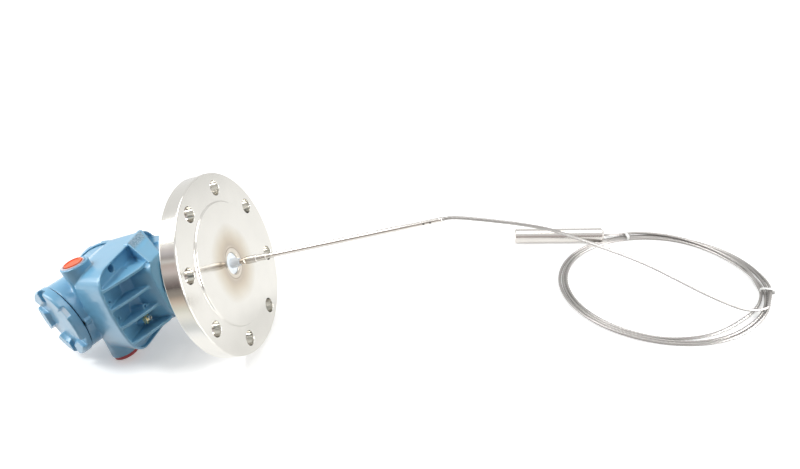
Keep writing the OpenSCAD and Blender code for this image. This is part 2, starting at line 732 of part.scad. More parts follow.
module module_screws()
    color(steel) on_head() rear_frame() module_screw_places()
        translate([0, 0, comp_floor + module_h * 0.6 + eps]) cap_screw(3.2, module_h * 0.6 + 7, 5.5, 2.4);

// ------------------------------------------------------------ external earth screw

clamp_t = 2;
module ground_clamp()
    color(brass_tone) on_head() ground_frame(ground_y) translate([0, 0, eps])
        difference() {
            union() {
                cylinder(d = 12, h = clamp_t, $fn = small_fn);
                translate([4, -4, 0]) cube([2.4, 8, clamp_t + 3]);
            }
            translate([0, 0, -1]) cylinder(d = ground_thread_d + 0.4, h = clamp_t + 2, $fn = small_fn);
        }
module ground_screw()
    color(steel) on_head() ground_frame(ground_y) translate([0, 0, clamp_t + 2 * eps])
        cap_screw(ground_thread_d - 0.2, clamp_t + 11, 7.6, 5);

// --------------------------------------------------------------------- plugs

// Hollow plug of a conduit entry, +z outwards, z = 0 under its head
module plug(head_d, recess) difference() {
    union() {
        translate([0, 0, -plug_shank]) cylinder(d = entry_bore_d - 2 * run_gap, h = plug_shank + eps);
        cylinder(d = head_d - 2 * seat_gap, h = plug_head_h - 0.6);
        translate([0, 0, plug_head_h - 0.6 - eps])
            cylinder(d1 = head_d - 2 * seat_gap, d2 = head_d - 1.2, h = 0.6 + eps);
    }
    translate([0, 0, -plug_shank - 1])
        cylinder(d = entry_bore_d - 2 * plug_wall, h = plug_shank + plug_head_h - plug_wall - recess + 1);
    if (recess > 0) translate([0, 0, plug_head_h - recess]) cylinder(d = entry_bore_d, h = recess + 1);
}

module upper_plug()
    color(orange_plastic) on_head() entry_frame(1)
        translate([0, 0, entry_mouth - entry_seat_h + eps]) plug(upper_plug_d, 0.8);
module lower_plug()
    color(red_plastic) on_head() entry_frame(-1)
        translate([0, 0, entry_mouth + eps]) plug(lower_plug_d, 0);

// ------------------------------------------------------- wire, coil and weight

// Points of the wire between the chuck and the coil, in the table's frame
LEAD = [
    [258.1, 0, 183.7], [265.8, 0, 185.6], [280, 1, 185.4], [296, 2, 183.8], [322, 4, 180.4],
    [349, 8, 175], [377, 13, 167], [405, 19, 155], [434, 26, 140], [464, 35, 124],
    [494, 44, 106], [526, 56, 83], [560, 69, 58], [588, 81, 38], [618, 95, 18],
    [632, 102, 10], [642, 107, 6.5], [652, 111, 6], [657, 114, 6]
];
// Points of its tail between the end weight and the coil
TAIL = [[0, 0, 0], [6, 0.6, -0.6], [13, 3.8, -3.6], [20, 8.8, -6.2], [26, 12.4, -7], [30, 14, -7]];
lead_sides = 8;
lead_steps = 4;
coil_x = 537.5;
coil_y = 173;
coil_h = 8;
coil_mid = coil_r - coil_width / 2;
join_angle = -26;
tail_angle = 107;
weight_turn = 4.7;
tail_from = [coil_x + coil_r * cos(tail_angle) - 30, coil_y + coil_r * sin(tail_angle) - 14,
    weight_d / 2];
weight_from = tail_from - weight_length * [cos(weight_turn), sin(weight_turn), 0];

// Centripetal curve through four neighbouring points
function spline(a, b, c, d, t) = 0.5 * (2 * b + (c - a) * t
    + (2 * a - 5 * b + 4 * c - d) * t * t + (3 * b - a - 3 * c + d) * t * t * t);
function curve(points) = let (n = len(points) - 1) [
    for (i = [0 : n - 1], k = [0 : lead_steps - 1]) spline(points[max(i - 1, 0)], points[i],
        points[i + 1], points[min(i + 2, n)], k / lead_steps),
    points[n]];
// Both ends of the wire follow the chuck and the coil when these change
chuck_end = [chuck_x - middle_x, 0, hub_z + (rod_length + chuck_length) * sin(lean)];
coil_join = [coil_x + coil_mid * cos(join_angle), coil_y + coil_mid * sin(join_angle), coil_h - 2];
lead_last = len(LEAD) - 1;
function carried(i) = let (w = max(i - 1, 0) / (lead_last - 1))
    LEAD[i] + (1 - w) * (chuck_end - LEAD[0]) + w * (coil_join - LEAD[lead_last]);
function unit(v) = v / norm(v);
function tangent(p, i) = unit(p[min(i + 1, len(p) - 1)] - p[max(i - 1, 0)]);

// Round tube along a path, as one polyhedron
module tube_along(path, d, sides) {
    rings = len(path);
    points = [for (i = [0 : rings - 1]) let (
            t = tangent(path, i), u = unit(cross(t, [0, 1, 0])), w = cross(t, u))
        for (j = [0 : sides - 1]) path[i]
            + d / 2 * (cos(j * 360 / sides) * u + sin(j * 360 / sides) * w)];
    faces = concat(
        [[for (j = [0 : sides - 1]) j]],
        [for (i = [0 : rings - 2], j = [0 : sides - 1]) let (k = (j + 1) % sides)
            [i * sides + j, (i + 1) * sides + j, (i + 1) * sides + k, i * sides + k]],
        [[for (j = [sides - 1 : -1 : 0]) (rings - 1) * sides + j]]);
    polyhedron(points, faces);
}

module lead_run()
    color(steel) tube_along(curve([for (i = [0 : lead_last]) carried(i)]), wire_d, lead_sides);

module lead_tail()
    color(steel) translate(tail_from) tube_along(curve(TAIL), wire_d, lead_sides);

// Outer shape of the coil's turns, which give way beside the end weight
module lead_coil()
    color(steel) difference() {
        translate([coil_x, coil_y, 0]) rotate_extrude($fn = 120)
            translate([coil_r - coil_width, 0]) polygon([
                [0, 1], [1, 0], [coil_width - 1, 0], [coil_width, 1],
                [coil_width, coil_h - 1], [coil_width - 1, coil_h], [1, coil_h], [0, coil_h - 1]]);
        on_weight() translate([0, 0, -1]) cylinder(d = weight_d + 0.6, h = weight_length + 1.3);
    }

module end_weight()
    color(steel) on_weight() difference() {
        rotate_extrude() polygon([
            [0, 0], [weight_d / 2 - 1, 0], [weight_d / 2, 1],
            [weight_d / 2, weight_length - weight_chamfer],
            [weight_d / 2 - weight_chamfer, weight_length], [0, weight_length]]);
        for (z = weight_screw_z) translate([0, 0, z]) rotate([0, 90, 0])
            cylinder(d = weight_screw_d, h = weight_d, $fn = small_fn);
    }
weight_screw_z = [weight_length - 16, weight_length - 28];
weight_screw_d = 5;

module on_weight()
    translate(weight_from) rotate([0, 0, weight_turn]) rotate([0, 90, 0]) children();

module weight_screws()
    color(steel_dark) on_weight() for (z = weight_screw_z) translate([0, 0, z]) rotate([0, 90, 0])
        difference() {
            translate([0, 0, 2]) cylinder(d = weight_screw_d - run_gap, h = weight_d / 2 - 3, $fn = small_fn);
            translate([0, 0, weight_d / 2 - 3]) cylinder(d = weight_screw_d / 2, h = 3, $fn = 6);
        }

// Tie over the coil's turns at an angle from the coil's centre
tie_t = 1;
tie_w = 4;
module tie(angle)
    translate([coil_x, coil_y, 0]) rotate([0, 0, angle]) translate([coil_mid, 0, 0])
        rotate([90, 0, 0]) linear_extrude(tie_w, center = true) difference() {
            translate([-coil_width / 2 - tie_t, 0]) square([coil_width + 2 * tie_t, coil_h + tie_t]);
            translate([-coil_width / 2, -1]) square([coil_width, coil_h + 1]);
        }

module tie_1() color("white") tie(tail_angle - 2);
module tie_2() color("white") tie(-6);

flange();
tank_connection();
weld_bead();
swivel_nut();
seal_bushing();
insulator();
probe_rod();
wire_chuck();
chuck_screws();
head_seal();
head_spigot();
centre_conductor();
housing();
terminal_block();
terminal_screws();
inner_ground_screw();
electronics_module();
module_screws();
ground_screw();
ground_clamp();
terminal_cover();
terminal_cover_seal();
terminal_cover_screw();
electronics_cover();
electronics_cover_seal();
electronics_cover_screw();
upper_plug();
lower_plug();
lead_run();
lead_coil();
lead_tail();
tie_1();
tie_2();
end_weight();
weight_screws();
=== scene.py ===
"""Radar level transmitter: finish of its casting, fittings, probe and wire, as a Blender add-on"""

import json
import math

import bmesh
import bpy
from bpy.props import FloatProperty, FloatVectorProperty, IntProperty, PointerProperty
from mathutils import Matrix, Vector, noise


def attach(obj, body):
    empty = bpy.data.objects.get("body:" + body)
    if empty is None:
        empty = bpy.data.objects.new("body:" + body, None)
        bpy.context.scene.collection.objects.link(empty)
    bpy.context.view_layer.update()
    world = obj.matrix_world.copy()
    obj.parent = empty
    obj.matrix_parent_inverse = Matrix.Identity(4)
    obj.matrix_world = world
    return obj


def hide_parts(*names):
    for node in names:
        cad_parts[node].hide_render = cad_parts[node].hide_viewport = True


bl_info = {
    "name": "Radar level transmitter",
    "version": (1, 0, 0),
    "blender": (4, 5, 0),
    "location": "View3D > Sidebar > Transmitter",
    "description": "Builds the finished pieces of a radar level transmitter round its frame",
    "category": "Object",
}

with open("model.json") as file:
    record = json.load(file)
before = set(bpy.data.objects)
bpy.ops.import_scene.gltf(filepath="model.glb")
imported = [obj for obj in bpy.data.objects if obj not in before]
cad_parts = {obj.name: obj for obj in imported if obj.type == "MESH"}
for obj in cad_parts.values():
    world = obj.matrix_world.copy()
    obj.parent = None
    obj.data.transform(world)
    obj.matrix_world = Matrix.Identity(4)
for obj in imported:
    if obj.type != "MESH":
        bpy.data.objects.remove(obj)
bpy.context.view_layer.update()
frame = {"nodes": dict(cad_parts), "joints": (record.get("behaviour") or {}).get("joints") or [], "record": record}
MM = 0.001
# Distance under which points of a CAD node are one, and angle under which its faces are one
MERGE_DISTANCE, FLAT_ANGLE = 2e-6, math.radians(0.6)
# Angle past which an edge stays sharp
SHARP_ANGLE = math.radians(35)
UP = Vector((0, 0, 1))

# ------------------------------------------------------------------ places

JOINTS = {j["name"]: j for j in frame["joints"]}
MOUNTS = {m["name"]: m for m in frame["record"]["mounts"]}
HUB = Vector(MOUNTS["flange_bolts"]["pos_m"])
PROBE = Vector(MOUNTS["flange_bolts"]["axis"]).normalized()
HEAD_UP = Vector(JOINTS["head_turn"]["axis"]).normalized()
FRONT = Vector(JOINTS["terminal_cover_turn"]["axis"]).normalized()
REAR = Vector(JOINTS["electronics_cover_turn"]["axis"]).normalized()
ENTRY_UP = Vector(JOINTS["upper_plug_slide"]["axis"]).normalized()
FORWARD = (FRONT - FRONT.dot(HEAD_UP) * HEAD_UP).normalized()


def place(x_axis, y_axis, z_axis, origin):
    """Matrix whose columns are three axes and an origin"""
    rows = [[x_axis[i], y_axis[i], z_axis[i], origin[i]] for i in range(3)]
    return Matrix(rows + [[0, 0, 0, 1]])


# Head: x forward over the terminal cover, y to the upper entry, z up the flange's axis
HEAD = place(FORWARD, ENTRY_UP, HEAD_UP, HUB)
HEAD_INVERSE = HEAD.inverted()
# Flange: z along the probe, out of the raised face
FLANGE = place(Vector((0, 1, 0)), PROBE.cross(Vector((0, 1, 0))), PROBE, HUB)


def along(axis, origin):
    """Matrix of a frame at origin whose z runs along axis"""
    side = axis.cross(Vector((0.3, 0.2, 1))).normalized()
    return place(side, axis.cross(side), axis, origin)


# ------------------------------------------------------------- small helpers


def deselect_all():
    """Leaves nothing selected, so that an operator acts only on what is added next"""
    bpy.ops.object.select_all(action="DESELECT")


def activate(piece):
    """Makes a piece the only selected and the active one"""
    deselect_all()
    piece.select_set(True)
    bpy.context.view_layer.objects.active = piece


def context_piece(name):
    """The primitive that was just added, named"""
    piece = bpy.context.object
    piece.name = name
    return piece


def apply_modifier(piece, kind, **settings):
    """Adds a modifier with its settings and applies it"""
    modifier = piece.modifiers.new(kind.title(), kind)
    for key, value in settings.items():
        setattr(modifier, key, value)
    activate(piece)
    bpy.ops.object.modifier_apply(modifier=modifier.name)


def copy_of(node, name):
    """Copy of a CAD node as one merged mesh with its flat faces made whole"""
    piece = bpy.data.objects.new(name, frame["nodes"][node].data.copy())
    bpy.context.scene.collection.objects.link(piece)
    piece.data.materials.clear()
    activate(piece)
    bpy.ops.object.mode_set(mode="EDIT")
    bpy.ops.mesh.select_all(action="SELECT")
    bpy.ops.mesh.remove_doubles(threshold=MERGE_DISTANCE)
    bpy.ops.mesh.dissolve_limited(angle_limit=FLAT_ANGLE)
    bpy.ops.object.mode_set(mode="OBJECT")
    return piece


def soften(piece, width, segments=2):
    """Rounds the sharp edges of a machined piece by a width in millimetres"""
    apply_modifier(
        piece, "BEVEL", width=width * MM, segments=segments, limit_method="ANGLE",
        angle_limit=SHARP_ANGLE, harden_normals=False, miter_outer="MITER_ARC",
    )
    activate(piece)
    bpy.ops.object.shade_smooth_by_angle(angle=SHARP_ANGLE)
    apply_modifier(piece, "WEIGHTED_NORMAL", keep_sharp=True, weight=80)


def cast(piece, voxel, rounds, keep_sharp, faces):
    """Gives a piece the soft corners of a casting, apart from what keep_sharp names"""
    apply_modifier(piece, "REMESH", mode="VOXEL", voxel_size=voxel * MM)
    group = piece.vertex_groups.new(name="soft")
    soft = [v.index for v in piece.data.vertices if not keep_sharp(v.co)]
    group.add(soft, 1.0, "REPLACE")
    apply_modifier(piece, "SMOOTH", factor=0.5, iterations=rounds, vertex_group="soft")
    piece.vertex_groups.clear()
    count = 2 * len(piece.data.polygons)
    if count > faces:
        apply_modifier(piece, "DECIMATE", ratio=faces / count)
    activate(piece)
    bpy.ops.object.shade_smooth()


def keep(piece, body, slot, *nodes):
    """Finished piece: it rides on a body and stands for its CAD nodes; its slot is not used"""
    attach(piece, body)
    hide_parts(*nodes)
    deselect_all()
    return piece


def paint_node(node, material):
    """Gives a CAD node its finish"""
    piece = frame["nodes"][node]
    piece.data.materials.clear()
    piece.data.materials.append(material)


# ----------------------------------------------------------------- materials

WHITE = (1, 1, 1)
# Sockets of a colour mix: its factor, its two colours and its result
MIX_FACTOR, MIX_A, MIX_B, MIX_RESULT = 0, 6, 7, 2


def fill_ramp(ramp, stops):
    """Gives a colour ramp its stops, each a position and a colour"""
    while len(ramp.elements) < len(stops):
        ramp.elements.new(0.5)
    for element, (position, colour) in zip(ramp.elements, stops):
        element.position = position
        element.color = (*colour, 1)


class Recipe:
    """Small helper that wires one procedural material"""

    def __init__(self, name, roughness=0.5, metallic=0.0, **inputs):
        self.material = bpy.data.materials.new(name)
        self.material.use_nodes = True
        self.tree = self.material.node_tree
        self.shader = self.tree.nodes["Principled BSDF"]
        self.shader.inputs["Roughness"].default_value = roughness
        self.shader.inputs["Metallic"].default_value = metallic
        for key, value in inputs.items():
            self.shader.inputs[key.replace("_", " ")].default_value = value
        self.coords = self.add("ShaderNodeTexCoord").outputs["Object"]

    def add(self, kind, **settings):
        node = self.tree.nodes.new(kind)
        for key, value in settings.items():
            setattr(node, key, value)
        return node

    def link(self, source, target):
        self.tree.links.new(source, target)

    def local(self, matrix):
        """Coordinates in the local frame of a matrix"""
        node = self.add("ShaderNodeMapping", vector_type="TEXTURE")
        node.inputs["Location"].default_value = matrix.to_translation()
        node.inputs["Rotation"].default_value = matrix.to_euler()
        self.link(self.coords, node.inputs["Vector"])
        return node.outputs["Vector"]

    def split(self, vector):
        """Sockets X, Y and Z of a vector"""
        node = self.add("ShaderNodeSeparateXYZ")
        self.link(vector, node.inputs[0])
        return node.outputs

    def noise(self, scale, detail, rough=0.5, vector=None):
        node = self.add("ShaderNodeTexNoise")
        node.inputs["Scale"].default_value = scale
        node.inputs["Detail"].default_value = detail
        node.inputs["Roughness"].default_value = rough
        self.link(vector or self.coords, node.inputs["Vector"])
        return node.outputs["Fac"]

    def math(self, operation, a, b=None):
        node = self.add("ShaderNodeMath", operation=operation)
        for value, socket in zip((a, b), node.inputs):
            if value is None:
                continue
            if isinstance(value, (int, float)):
                socket.default_value = value
            else:
                self.link(value, socket)
        return node.outputs[0]

    def span(self, source, start=0.0, end=1.0, low=0.0, high=1.0, kind="LINEAR"):
        """Maps the range from start to end on to the one from low to high"""
        node = self.add("ShaderNodeMapRange", interpolation_type=kind)
        limits = {"From Min": start, "From Max": end, "To Min": low, "To Max": high}
        for key, value in limits.items():
            node.inputs[key].default_value = value
        self.link(source, node.inputs["Value"])
        return node.outputs[0]

    def ramp(self, source, stops):
        node = self.add("ShaderNodeValToRGB")
        fill_ramp(node.color_ramp, stops)
        self.link(source, node.inputs["Fac"])
        return node.outputs["Color"]

    def mix(self, fac, a, b, blend="MIX"):
        node = self.add("ShaderNodeMix", data_type="RGBA", blend_type=blend)
        for value, index in ((fac, MIX_FACTOR), (a, MIX_A), (b, MIX_B)):
            socket = node.inputs[index]
            if isinstance(value, (int, float)):
                socket.default_value = value
            elif isinstance(value, (tuple, list)):
                socket.default_value = (*value, 1)
            else:
                self.link(value, socket)
        return node.outputs[MIX_RESULT]

    def colour(self, value):
        if isinstance(value, (tuple, list)):
            self.shader.inputs["Base Color"].default_value = (*value, 1)
        else:
            self.link(value, self.shader.inputs["Base Color"])

    def roughness(self, source, low, high):
        self.link(self.span(source, low=low, high=high), self.shader.inputs["Roughness"])

    def bump(self, source, depth, strength):
        node = self.add("ShaderNodeBump")
        node.inputs["Strength"].default_value = strength
        node.inputs["Distance"].default_value = depth
        previous = self.shader.inputs["Normal"].links
        if previous:
            self.link(previous[0].from_socket, node.inputs["Normal"])
        self.link(source, node.inputs["Height"])
        self.link(node.outputs["Normal"], self.shader.inputs["Normal"])


def tone(hex_code):
    """Linear colour of a hex code"""
    channels = [int(hex_code[i : i + 2], 16) / 255 for i in (0, 2, 4)]
    return tuple(c / 12.92 if c <= 0.04045 else ((c + 0.055) / 1.055) ** 2.4 for c in channels)


def shade(colour, factor):
    """A colour made darker or lighter"""
    return tuple(min(1.0, c * factor) for c in colour)


# Heights in the head, in metres, between which its rough panels fade into the enamel
PANEL_FADE = (0.1065, 0.1135)
# Radius on the flange times HEAT_SCALE, and the tint that welding left there
HEAT_SCALE = 12.0
HEAT_TINT = [
    (0.0, tone("f4f0ea")), (0.2, tone("efe9e2")), (0.27, tone("d6cbc0")), (0.34, tone("e3d9cc")),
    (0.46, tone("f1ece4")), (0.6, WHITE)]
HEAT_WANDER = 0.012
# Radius on the flange times SEAM_SCALE, and the dark joint round the seal
SEAM_SCALE = 20.0
SEAM = [
    (0.0, WHITE), (0.378, WHITE), (0.386, (0.45, 0.41, 0.38)), (0.396, (0.8, 0.77, 0.74)),
    (0.41, WHITE)]


def casting_paint(name, colour):
    """Enamel over a casting: a soft orange peel, slight shifts of colour and gloss"""
    r = Recipe(name, roughness=0.3, Coat_Weight=0.5, Coat_Roughness=0.1)
    broad = r.noise(18, 2)
    r.colour(r.mix(r.math("MULTIPLY", broad, 0.5), shade(colour, 0.94), shade(colour, 1.08)))
    r.roughness(r.noise(60, 3), 0.22, 0.42)
    r.bump(r.noise(420, 3, 0.6), 0.00012, 0.5)
    r.bump(r.noise(1700, 2), 0.00003, 0.6)
    return r.material


def rough_casting(name, colour, matrix):
    """Rough sunk panel of the casting, which fades into the enamel below it"""
    r = Recipe(name, roughness=0.5, Coat_Weight=0.1, Coat_Roughness=0.3)
    fade = r.span(r.split(r.local(matrix))["Z"], *PANEL_FADE, kind="SMOOTHSTEP")
    speckle = r.noise(700, 2, 0.75)
    grey_blue = [(0.34, shade(colour, 0.35)), (0.5, tone("7f9eb4")), (0.66, tone("b3cbd8"))]
    r.colour(r.mix(fade, colour, r.ramp(speckle, grey_blue)))
    r.bump(r.math("MULTIPLY", speckle, fade), 0.0005, 0.7)
    return r.material


def turned_steel(name, colour, matrix, rough, lines=900, depth=0.00001, welded=False):
    """Steel turned on a lathe: fine rings round an axis"""
    r = Recipe(name, metallic=1.0)
    at = r.split(r.local(matrix))
    squares = [r.math("MULTIPLY", at[key], at[key]) for key in ("X", "Y")]
    radius = r.math("SQRT", r.math("ADD", *squares))
    rings = r.add("ShaderNodeCombineXYZ")
    r.link(radius, rings.inputs["X"])
    r.link(at["Z"], rings.inputs["Z"])
    fine = r.noise(lines, 4, 0.6, rings.outputs[0])
    steel = r.mix(r.noise(28, 4, 0.55), shade(colour, 0.93), shade(colour, 1.05))
    if welded:
        steel = heat_and_seam(r, steel, radius)
    r.colour(steel)
    r.roughness(fine, *rough)
    r.bump(fine, depth, 0.5)
    return r.material


def heat_and_seam(r, steel, radius):
    """Adds what welding and the seal leave on the turned face of a flange"""
    wander = r.math("MULTIPLY", r.math("SUBTRACT", r.noise(30, 2), 0.5), HEAT_WANDER)
    warped = r.math("ADD", radius, wander)
    heat = r.ramp(r.math("MULTIPLY", warped, HEAT_SCALE), HEAT_TINT)
    seam = r.ramp(r.math("MULTIPLY", radius, SEAM_SCALE), SEAM)
    r.bump(seam, 0.0003, 0.6)
    return r.mix(1.0, r.mix(1.0, steel, heat, "MULTIPLY"), seam, "MULTIPLY")


def brushed_steel(name, colour, rough, scale=500):
    """Plain machined steel with slight smears"""
    r = Recipe(name, metallic=1.0)
    r.colour(r.mix(r.noise(40, 3), shade(colour, 0.9), shade(colour, 1.06)))
    r.roughness(r.noise(scale, 3), *rough)
    r.bump(r.noise(scale * 3, 2), 0.000008, 0.4)
    return r.material


def plastic(name, colour, rough, **inputs):
    """Moulded plastic with a faint grain"""
    r = Recipe(name, **inputs)
    r.colour(r.mix(r.noise(90, 2), shade(colour, 0.93), shade(colour, 1.05)))
    r.roughness(r.noise(300, 2), *rough)
    r.bump(r.noise(1400, 2), 0.00002, 0.5)
    return r.material


# ------------------------------------------------------------------ settings


class TRANSMITTER_PG_finish(bpy.types.PropertyGroup):
    """Colours of the finish"""

    paint: FloatVectorProperty(
        name="Enamel", description="Colour of the painted casting and its covers",
        subtype="COLOR", size=3, min=0, max=1, default=tone("78b5d8"))
    steel: FloatVectorProperty(
        name="Flange steel", description="Colour of the flange",
        subtype="COLOR", size=3, min=0, max=1, default=tone("d8d6d0"))
    fittings: FloatVectorProperty(
        name="Fitting steel", description="Colour of the probe, nut and neck",
        subtype="COLOR", size=3, min=0, max=1, default=tone("dad6d1"))
    wire: FloatVectorProperty(
        name="Wire steel", description="Colour of the stranded wire",
        subtype="COLOR", size=3, min=0, max=1, default=tone("a7a4a1"))
    upper_plug: FloatVectorProperty(
        name="Upper plug", description="Colour of the upper conduit plug",
        subtype="COLOR", size=3, min=0, max=1, default=tone("ff6a35"))
    lower_plug: FloatVectorProperty(
        name="Lower plug", description="Colour of the lower conduit plug",
        subtype="COLOR", size=3, min=0, max=1, default=tone("c23a3d"))


class TRANSMITTER_PG_sizes(bpy.types.PropertyGroup):
    """Sizes that belong to the finish and not to the frame"""

    wire_diameter: FloatProperty(
        name="Wire diameter", description="Diameter of the stranded wire",
        unit="LENGTH", default=0.004, min=0.003, max=0.005, precision=4)
    wire_lay: FloatProperty(
        name="Strand lay", description="Length in which a strand goes once round the wire",
        unit="LENGTH", default=0.030, min=0.015, max=0.06)
    strands: IntProperty(
        name="Strands", description="Outer strands of the wire", default=6, min=5, max=8)
    casting_corner: FloatProperty(
        name="Casting softness",
        description="Voxel size from which the casting's corners are rounded",
        unit="LENGTH", default=0.00095, min=0.0007, max=0.002, precision=5)
    tie_width: FloatProperty(
        name="Tie width", description="Width of a plastic tie",
        unit="LENGTH", default=0.0045, min=0.002, max=0.008, precision=4)


# -------------------------------------------------------------------- camera

# Place of the camera in metres, its turns about x, y and z in degrees, and its lens
CAMERA_PLACE = (0.354768, -0.707713, 0.550746)
CAMERA_TURNS = (61.7082, 3.5267, 9.7650)
CAMERA_LENS, CAMERA_SENSOR = 32.122, 36.0


class TRANSMITTER_OT_camera(bpy.types.Operator):
    """Sets up the camera"""

    bl_idname = "transmitter.camera"
    bl_label = "Camera"

    def execute(self, context):
        data = bpy.data.cameras.new("camera")
        data.lens = CAMERA_LENS
        data.sensor_width = CAMERA_SENSOR
        data.clip_end = 30
        camera = bpy.data.objects.new("camera", data)
        context.scene.collection.objects.link(camera)
        camera.location = CAMERA_PLACE
        camera.rotation_euler = [math.radians(turn) for turn in CAMERA_TURNS]
        context.scene.camera = camera
        context.scene.view_settings.view_transform = "Standard"
        return {"FINISHED"}


# ---------------------------------------------------------------------- wire

# Route of the wire from the chuck to the coil, in metres
ROUTE = [
    (0.2581, 0, 0.1837), (0.2658, 0, 0.1856), (0.280, 0.001, 0.1854), (0.296, 0.002, 0.1838),
    (0.322, 0.004, 0.1804), (0.349, 0.008, 0.175), (0.377, 0.013, 0.167), (0.405, 0.019, 0.155),
    (0.434, 0.026, 0.140), (0.464, 0.035, 0.124), (0.494, 0.044, 0.106), (0.526, 0.056, 0.083),
    (0.560, 0.069, 0.058), (0.588, 0.081, 0.038), (0.614, 0.0935, 0.0205), (0.630, 0.1012, 0.0122),
    (0.642, 0.1072, 0.0085),
]
# Its last points: along the end weight's axis, and then aside and up, in metres
TAIL = ((0.0215, 0.0065, -0.0036), (0.0125, 0.0026, -0.0018), (0.006, 0.0004, -0.0004), (0.0, 0, 0))
COIL_CENTRE = Vector((0.5375, 0.173, 0))
WEIGHT_END = Vector((0.46657, 0.29288, 0.011))
WEIGHT_TURN = math.radians(4.7)
WEIGHT_AXIS = Vector((math.cos(WEIGHT_TURN), math.sin(WEIGHT_TURN), 0))
# Radii of the coil's lanes on the table, from the inner one, and the height of the wire's axis
LANE = (0.1292, 0.1334, 0.1376)
TABLE_GAP = 0.0021
# Distance between the axes of two turns that touch
PITCH = 0.00422
# Angles round the coil, in degrees from its start, over which the wire changes its lie, and the
# shifts in metres that go with them
COIL_START, COIL_STEP = -25.0, 6
LANDING, ON_TABLE = (-26, 18), 20
TO_MIDDLE_LANE, TO_INNER_LANE = (285, 325), (640, 680)
INSIDE_LANES, INSIDE_BY = (1005, 1040), 0.0042
OVER_LANES = (1075, 1110)
TO_WEIGHT, WEIGHT_SHIFT = (1135, 1187), (0.0072, 0.0014)
# How far up its neighbour's side the wire comes in, and round it goes out, in degrees
COMES_IN, GOES_OUT = 104, 122
# Loose bends: metres outwards, middle and half length in degrees
WIDE_BEND, SLACK_BEND = (0.0009, 190, 60), (-0.0060, 752, 45)
INNER_BEND, LAST_BEND = (-0.0085, 1028, 54), (-0.0060, 1112, 45)
# Parts that a stretch of the route's curve has, and the distance of its even points
CURVE_PARTS, LINE_STEP = 24, 0.0024
# Share of the radius that is left at the bottom of a groove between strands
GROOVE = 0.8


def ease(value, start, end):
    """Smooth step from 0 at start to 1 at end"""
    t = min(1.0, max(0.0, (value - start) / (end - start)))
    return t * t * (3 - 2 * t)


def swell(value, reach, middle, half):
    """Smooth rise to reach, and fall, round a middle angle"""
    d = abs(value - middle) / half
    return 0.0 if d >= 1 else reach * (1 - d * d) ** 2


def over(lane, turn):
    """Radius and height of a strand that lies against another one, turn degrees up its side"""
    a = math.radians(turn)
    return lane + PITCH * math.cos(a), TABLE_GAP + PITCH * math.sin(a)


def turn_place(angle):
    """Radius and height of the wire at an angle of the coil, in degrees from its start"""
    if angle < ON_TABLE:
        return over(LANE[1], COMES_IN - COMES_IN * ease(angle, *LANDING))
    radius = LANE[2] - (LANE[2] - LANE[1]) * ease(angle, *TO_MIDDLE_LANE)
    radius -= (LANE[1] - LANE[0]) * ease(angle, *TO_INNER_LANE)
    radius += swell(angle, *WIDE_BEND) + swell(angle, *SLACK_BEND)
    height = TABLE_GAP
    radius -= INSIDE_BY * ease(angle, *INSIDE_LANES) - swell(angle, *INNER_BEND)
    if angle > OVER_LANES[0]:
        radius, height = over(LANE[0], 180 - GOES_OUT * ease(angle, *OVER_LANES))
        radius += swell(angle, *LAST_BEND)
    if angle > TO_WEIGHT[0]:
        step = ease(angle, *TO_WEIGHT)
        radius += WEIGHT_SHIFT[0] * step
        height += WEIGHT_SHIFT[1] * step
    return radius, height


def coil_points():
    """Points of the wire round its coil"""
    points = []
    angle = COIL_START
    while angle < TO_WEIGHT[1]:
        radius, height = turn_place(angle)
        a = math.radians(angle)
        points.append(COIL_CENTRE + Vector((radius * math.cos(a), radius * math.sin(a), height)))
        angle += COIL_STEP
    return points


def wire_route():
    """Points of the wire from the chuck to the end weight"""
    tail = [WEIGHT_END + WEIGHT_AXIS * d + Vector((0, aside, up)) for d, aside, up in TAIL]
    return [Vector(p) for p in ROUTE] + coil_points() + tail


def smooth_line(points, step):
    """Even points along a centripetal curve through the given ones, and its length"""
    dense = []
    last = len(points) - 1
    for i in range(last):
        p0, p1, p2, p3 = points[max(i - 1, 0)], points[i], points[i + 1], points[min(i + 2, last)]
        d1, d2, d3 = (max((b - a).length ** 0.5, 1e-6) for a, b in ((p0, p1), (p1, p2), (p2, p3)))
        m1 = m2 = p2 - p1
        if i > 0:
            m1 = d2 * ((p1 - p0) / d1 - (p2 - p0) / (d1 + d2)) + (p2 - p1)
        if i < last - 1:
            m2 = d2 * ((p3 - p2) / d3 - (p3 - p1) / (d2 + d3)) + (p2 - p1)
        for k in range(CURVE_PARTS):
            t = k / CURVE_PARTS
            dense.append((2 * t**3 - 3 * t**2 + 1) * p1 + (t**3 - 2 * t**2 + t) * m1
                         + (3 * t**2 - 2 * t**3) * p2 + (t**3 - t**2) * m2)
    dense.append(points[-1])
    total = sum((b - a).length for a, b in zip(dense, dense[1:]))
    count = round(total / step)
    even, i, walked = [dense[0]], 0, 0.0
    for k in range(1, count):
        goal = total * k / count
        while walked + (dense[i + 1] - dense[i]).length < goal:
            walked += (dense[i + 1] - dense[i]).length
            i += 1
        span = (dense[i + 1] - dense[i]).length
        even.append(dense[i].lerp(dense[i + 1], (goal - walked) / span))
    return even + [dense[-1]], total


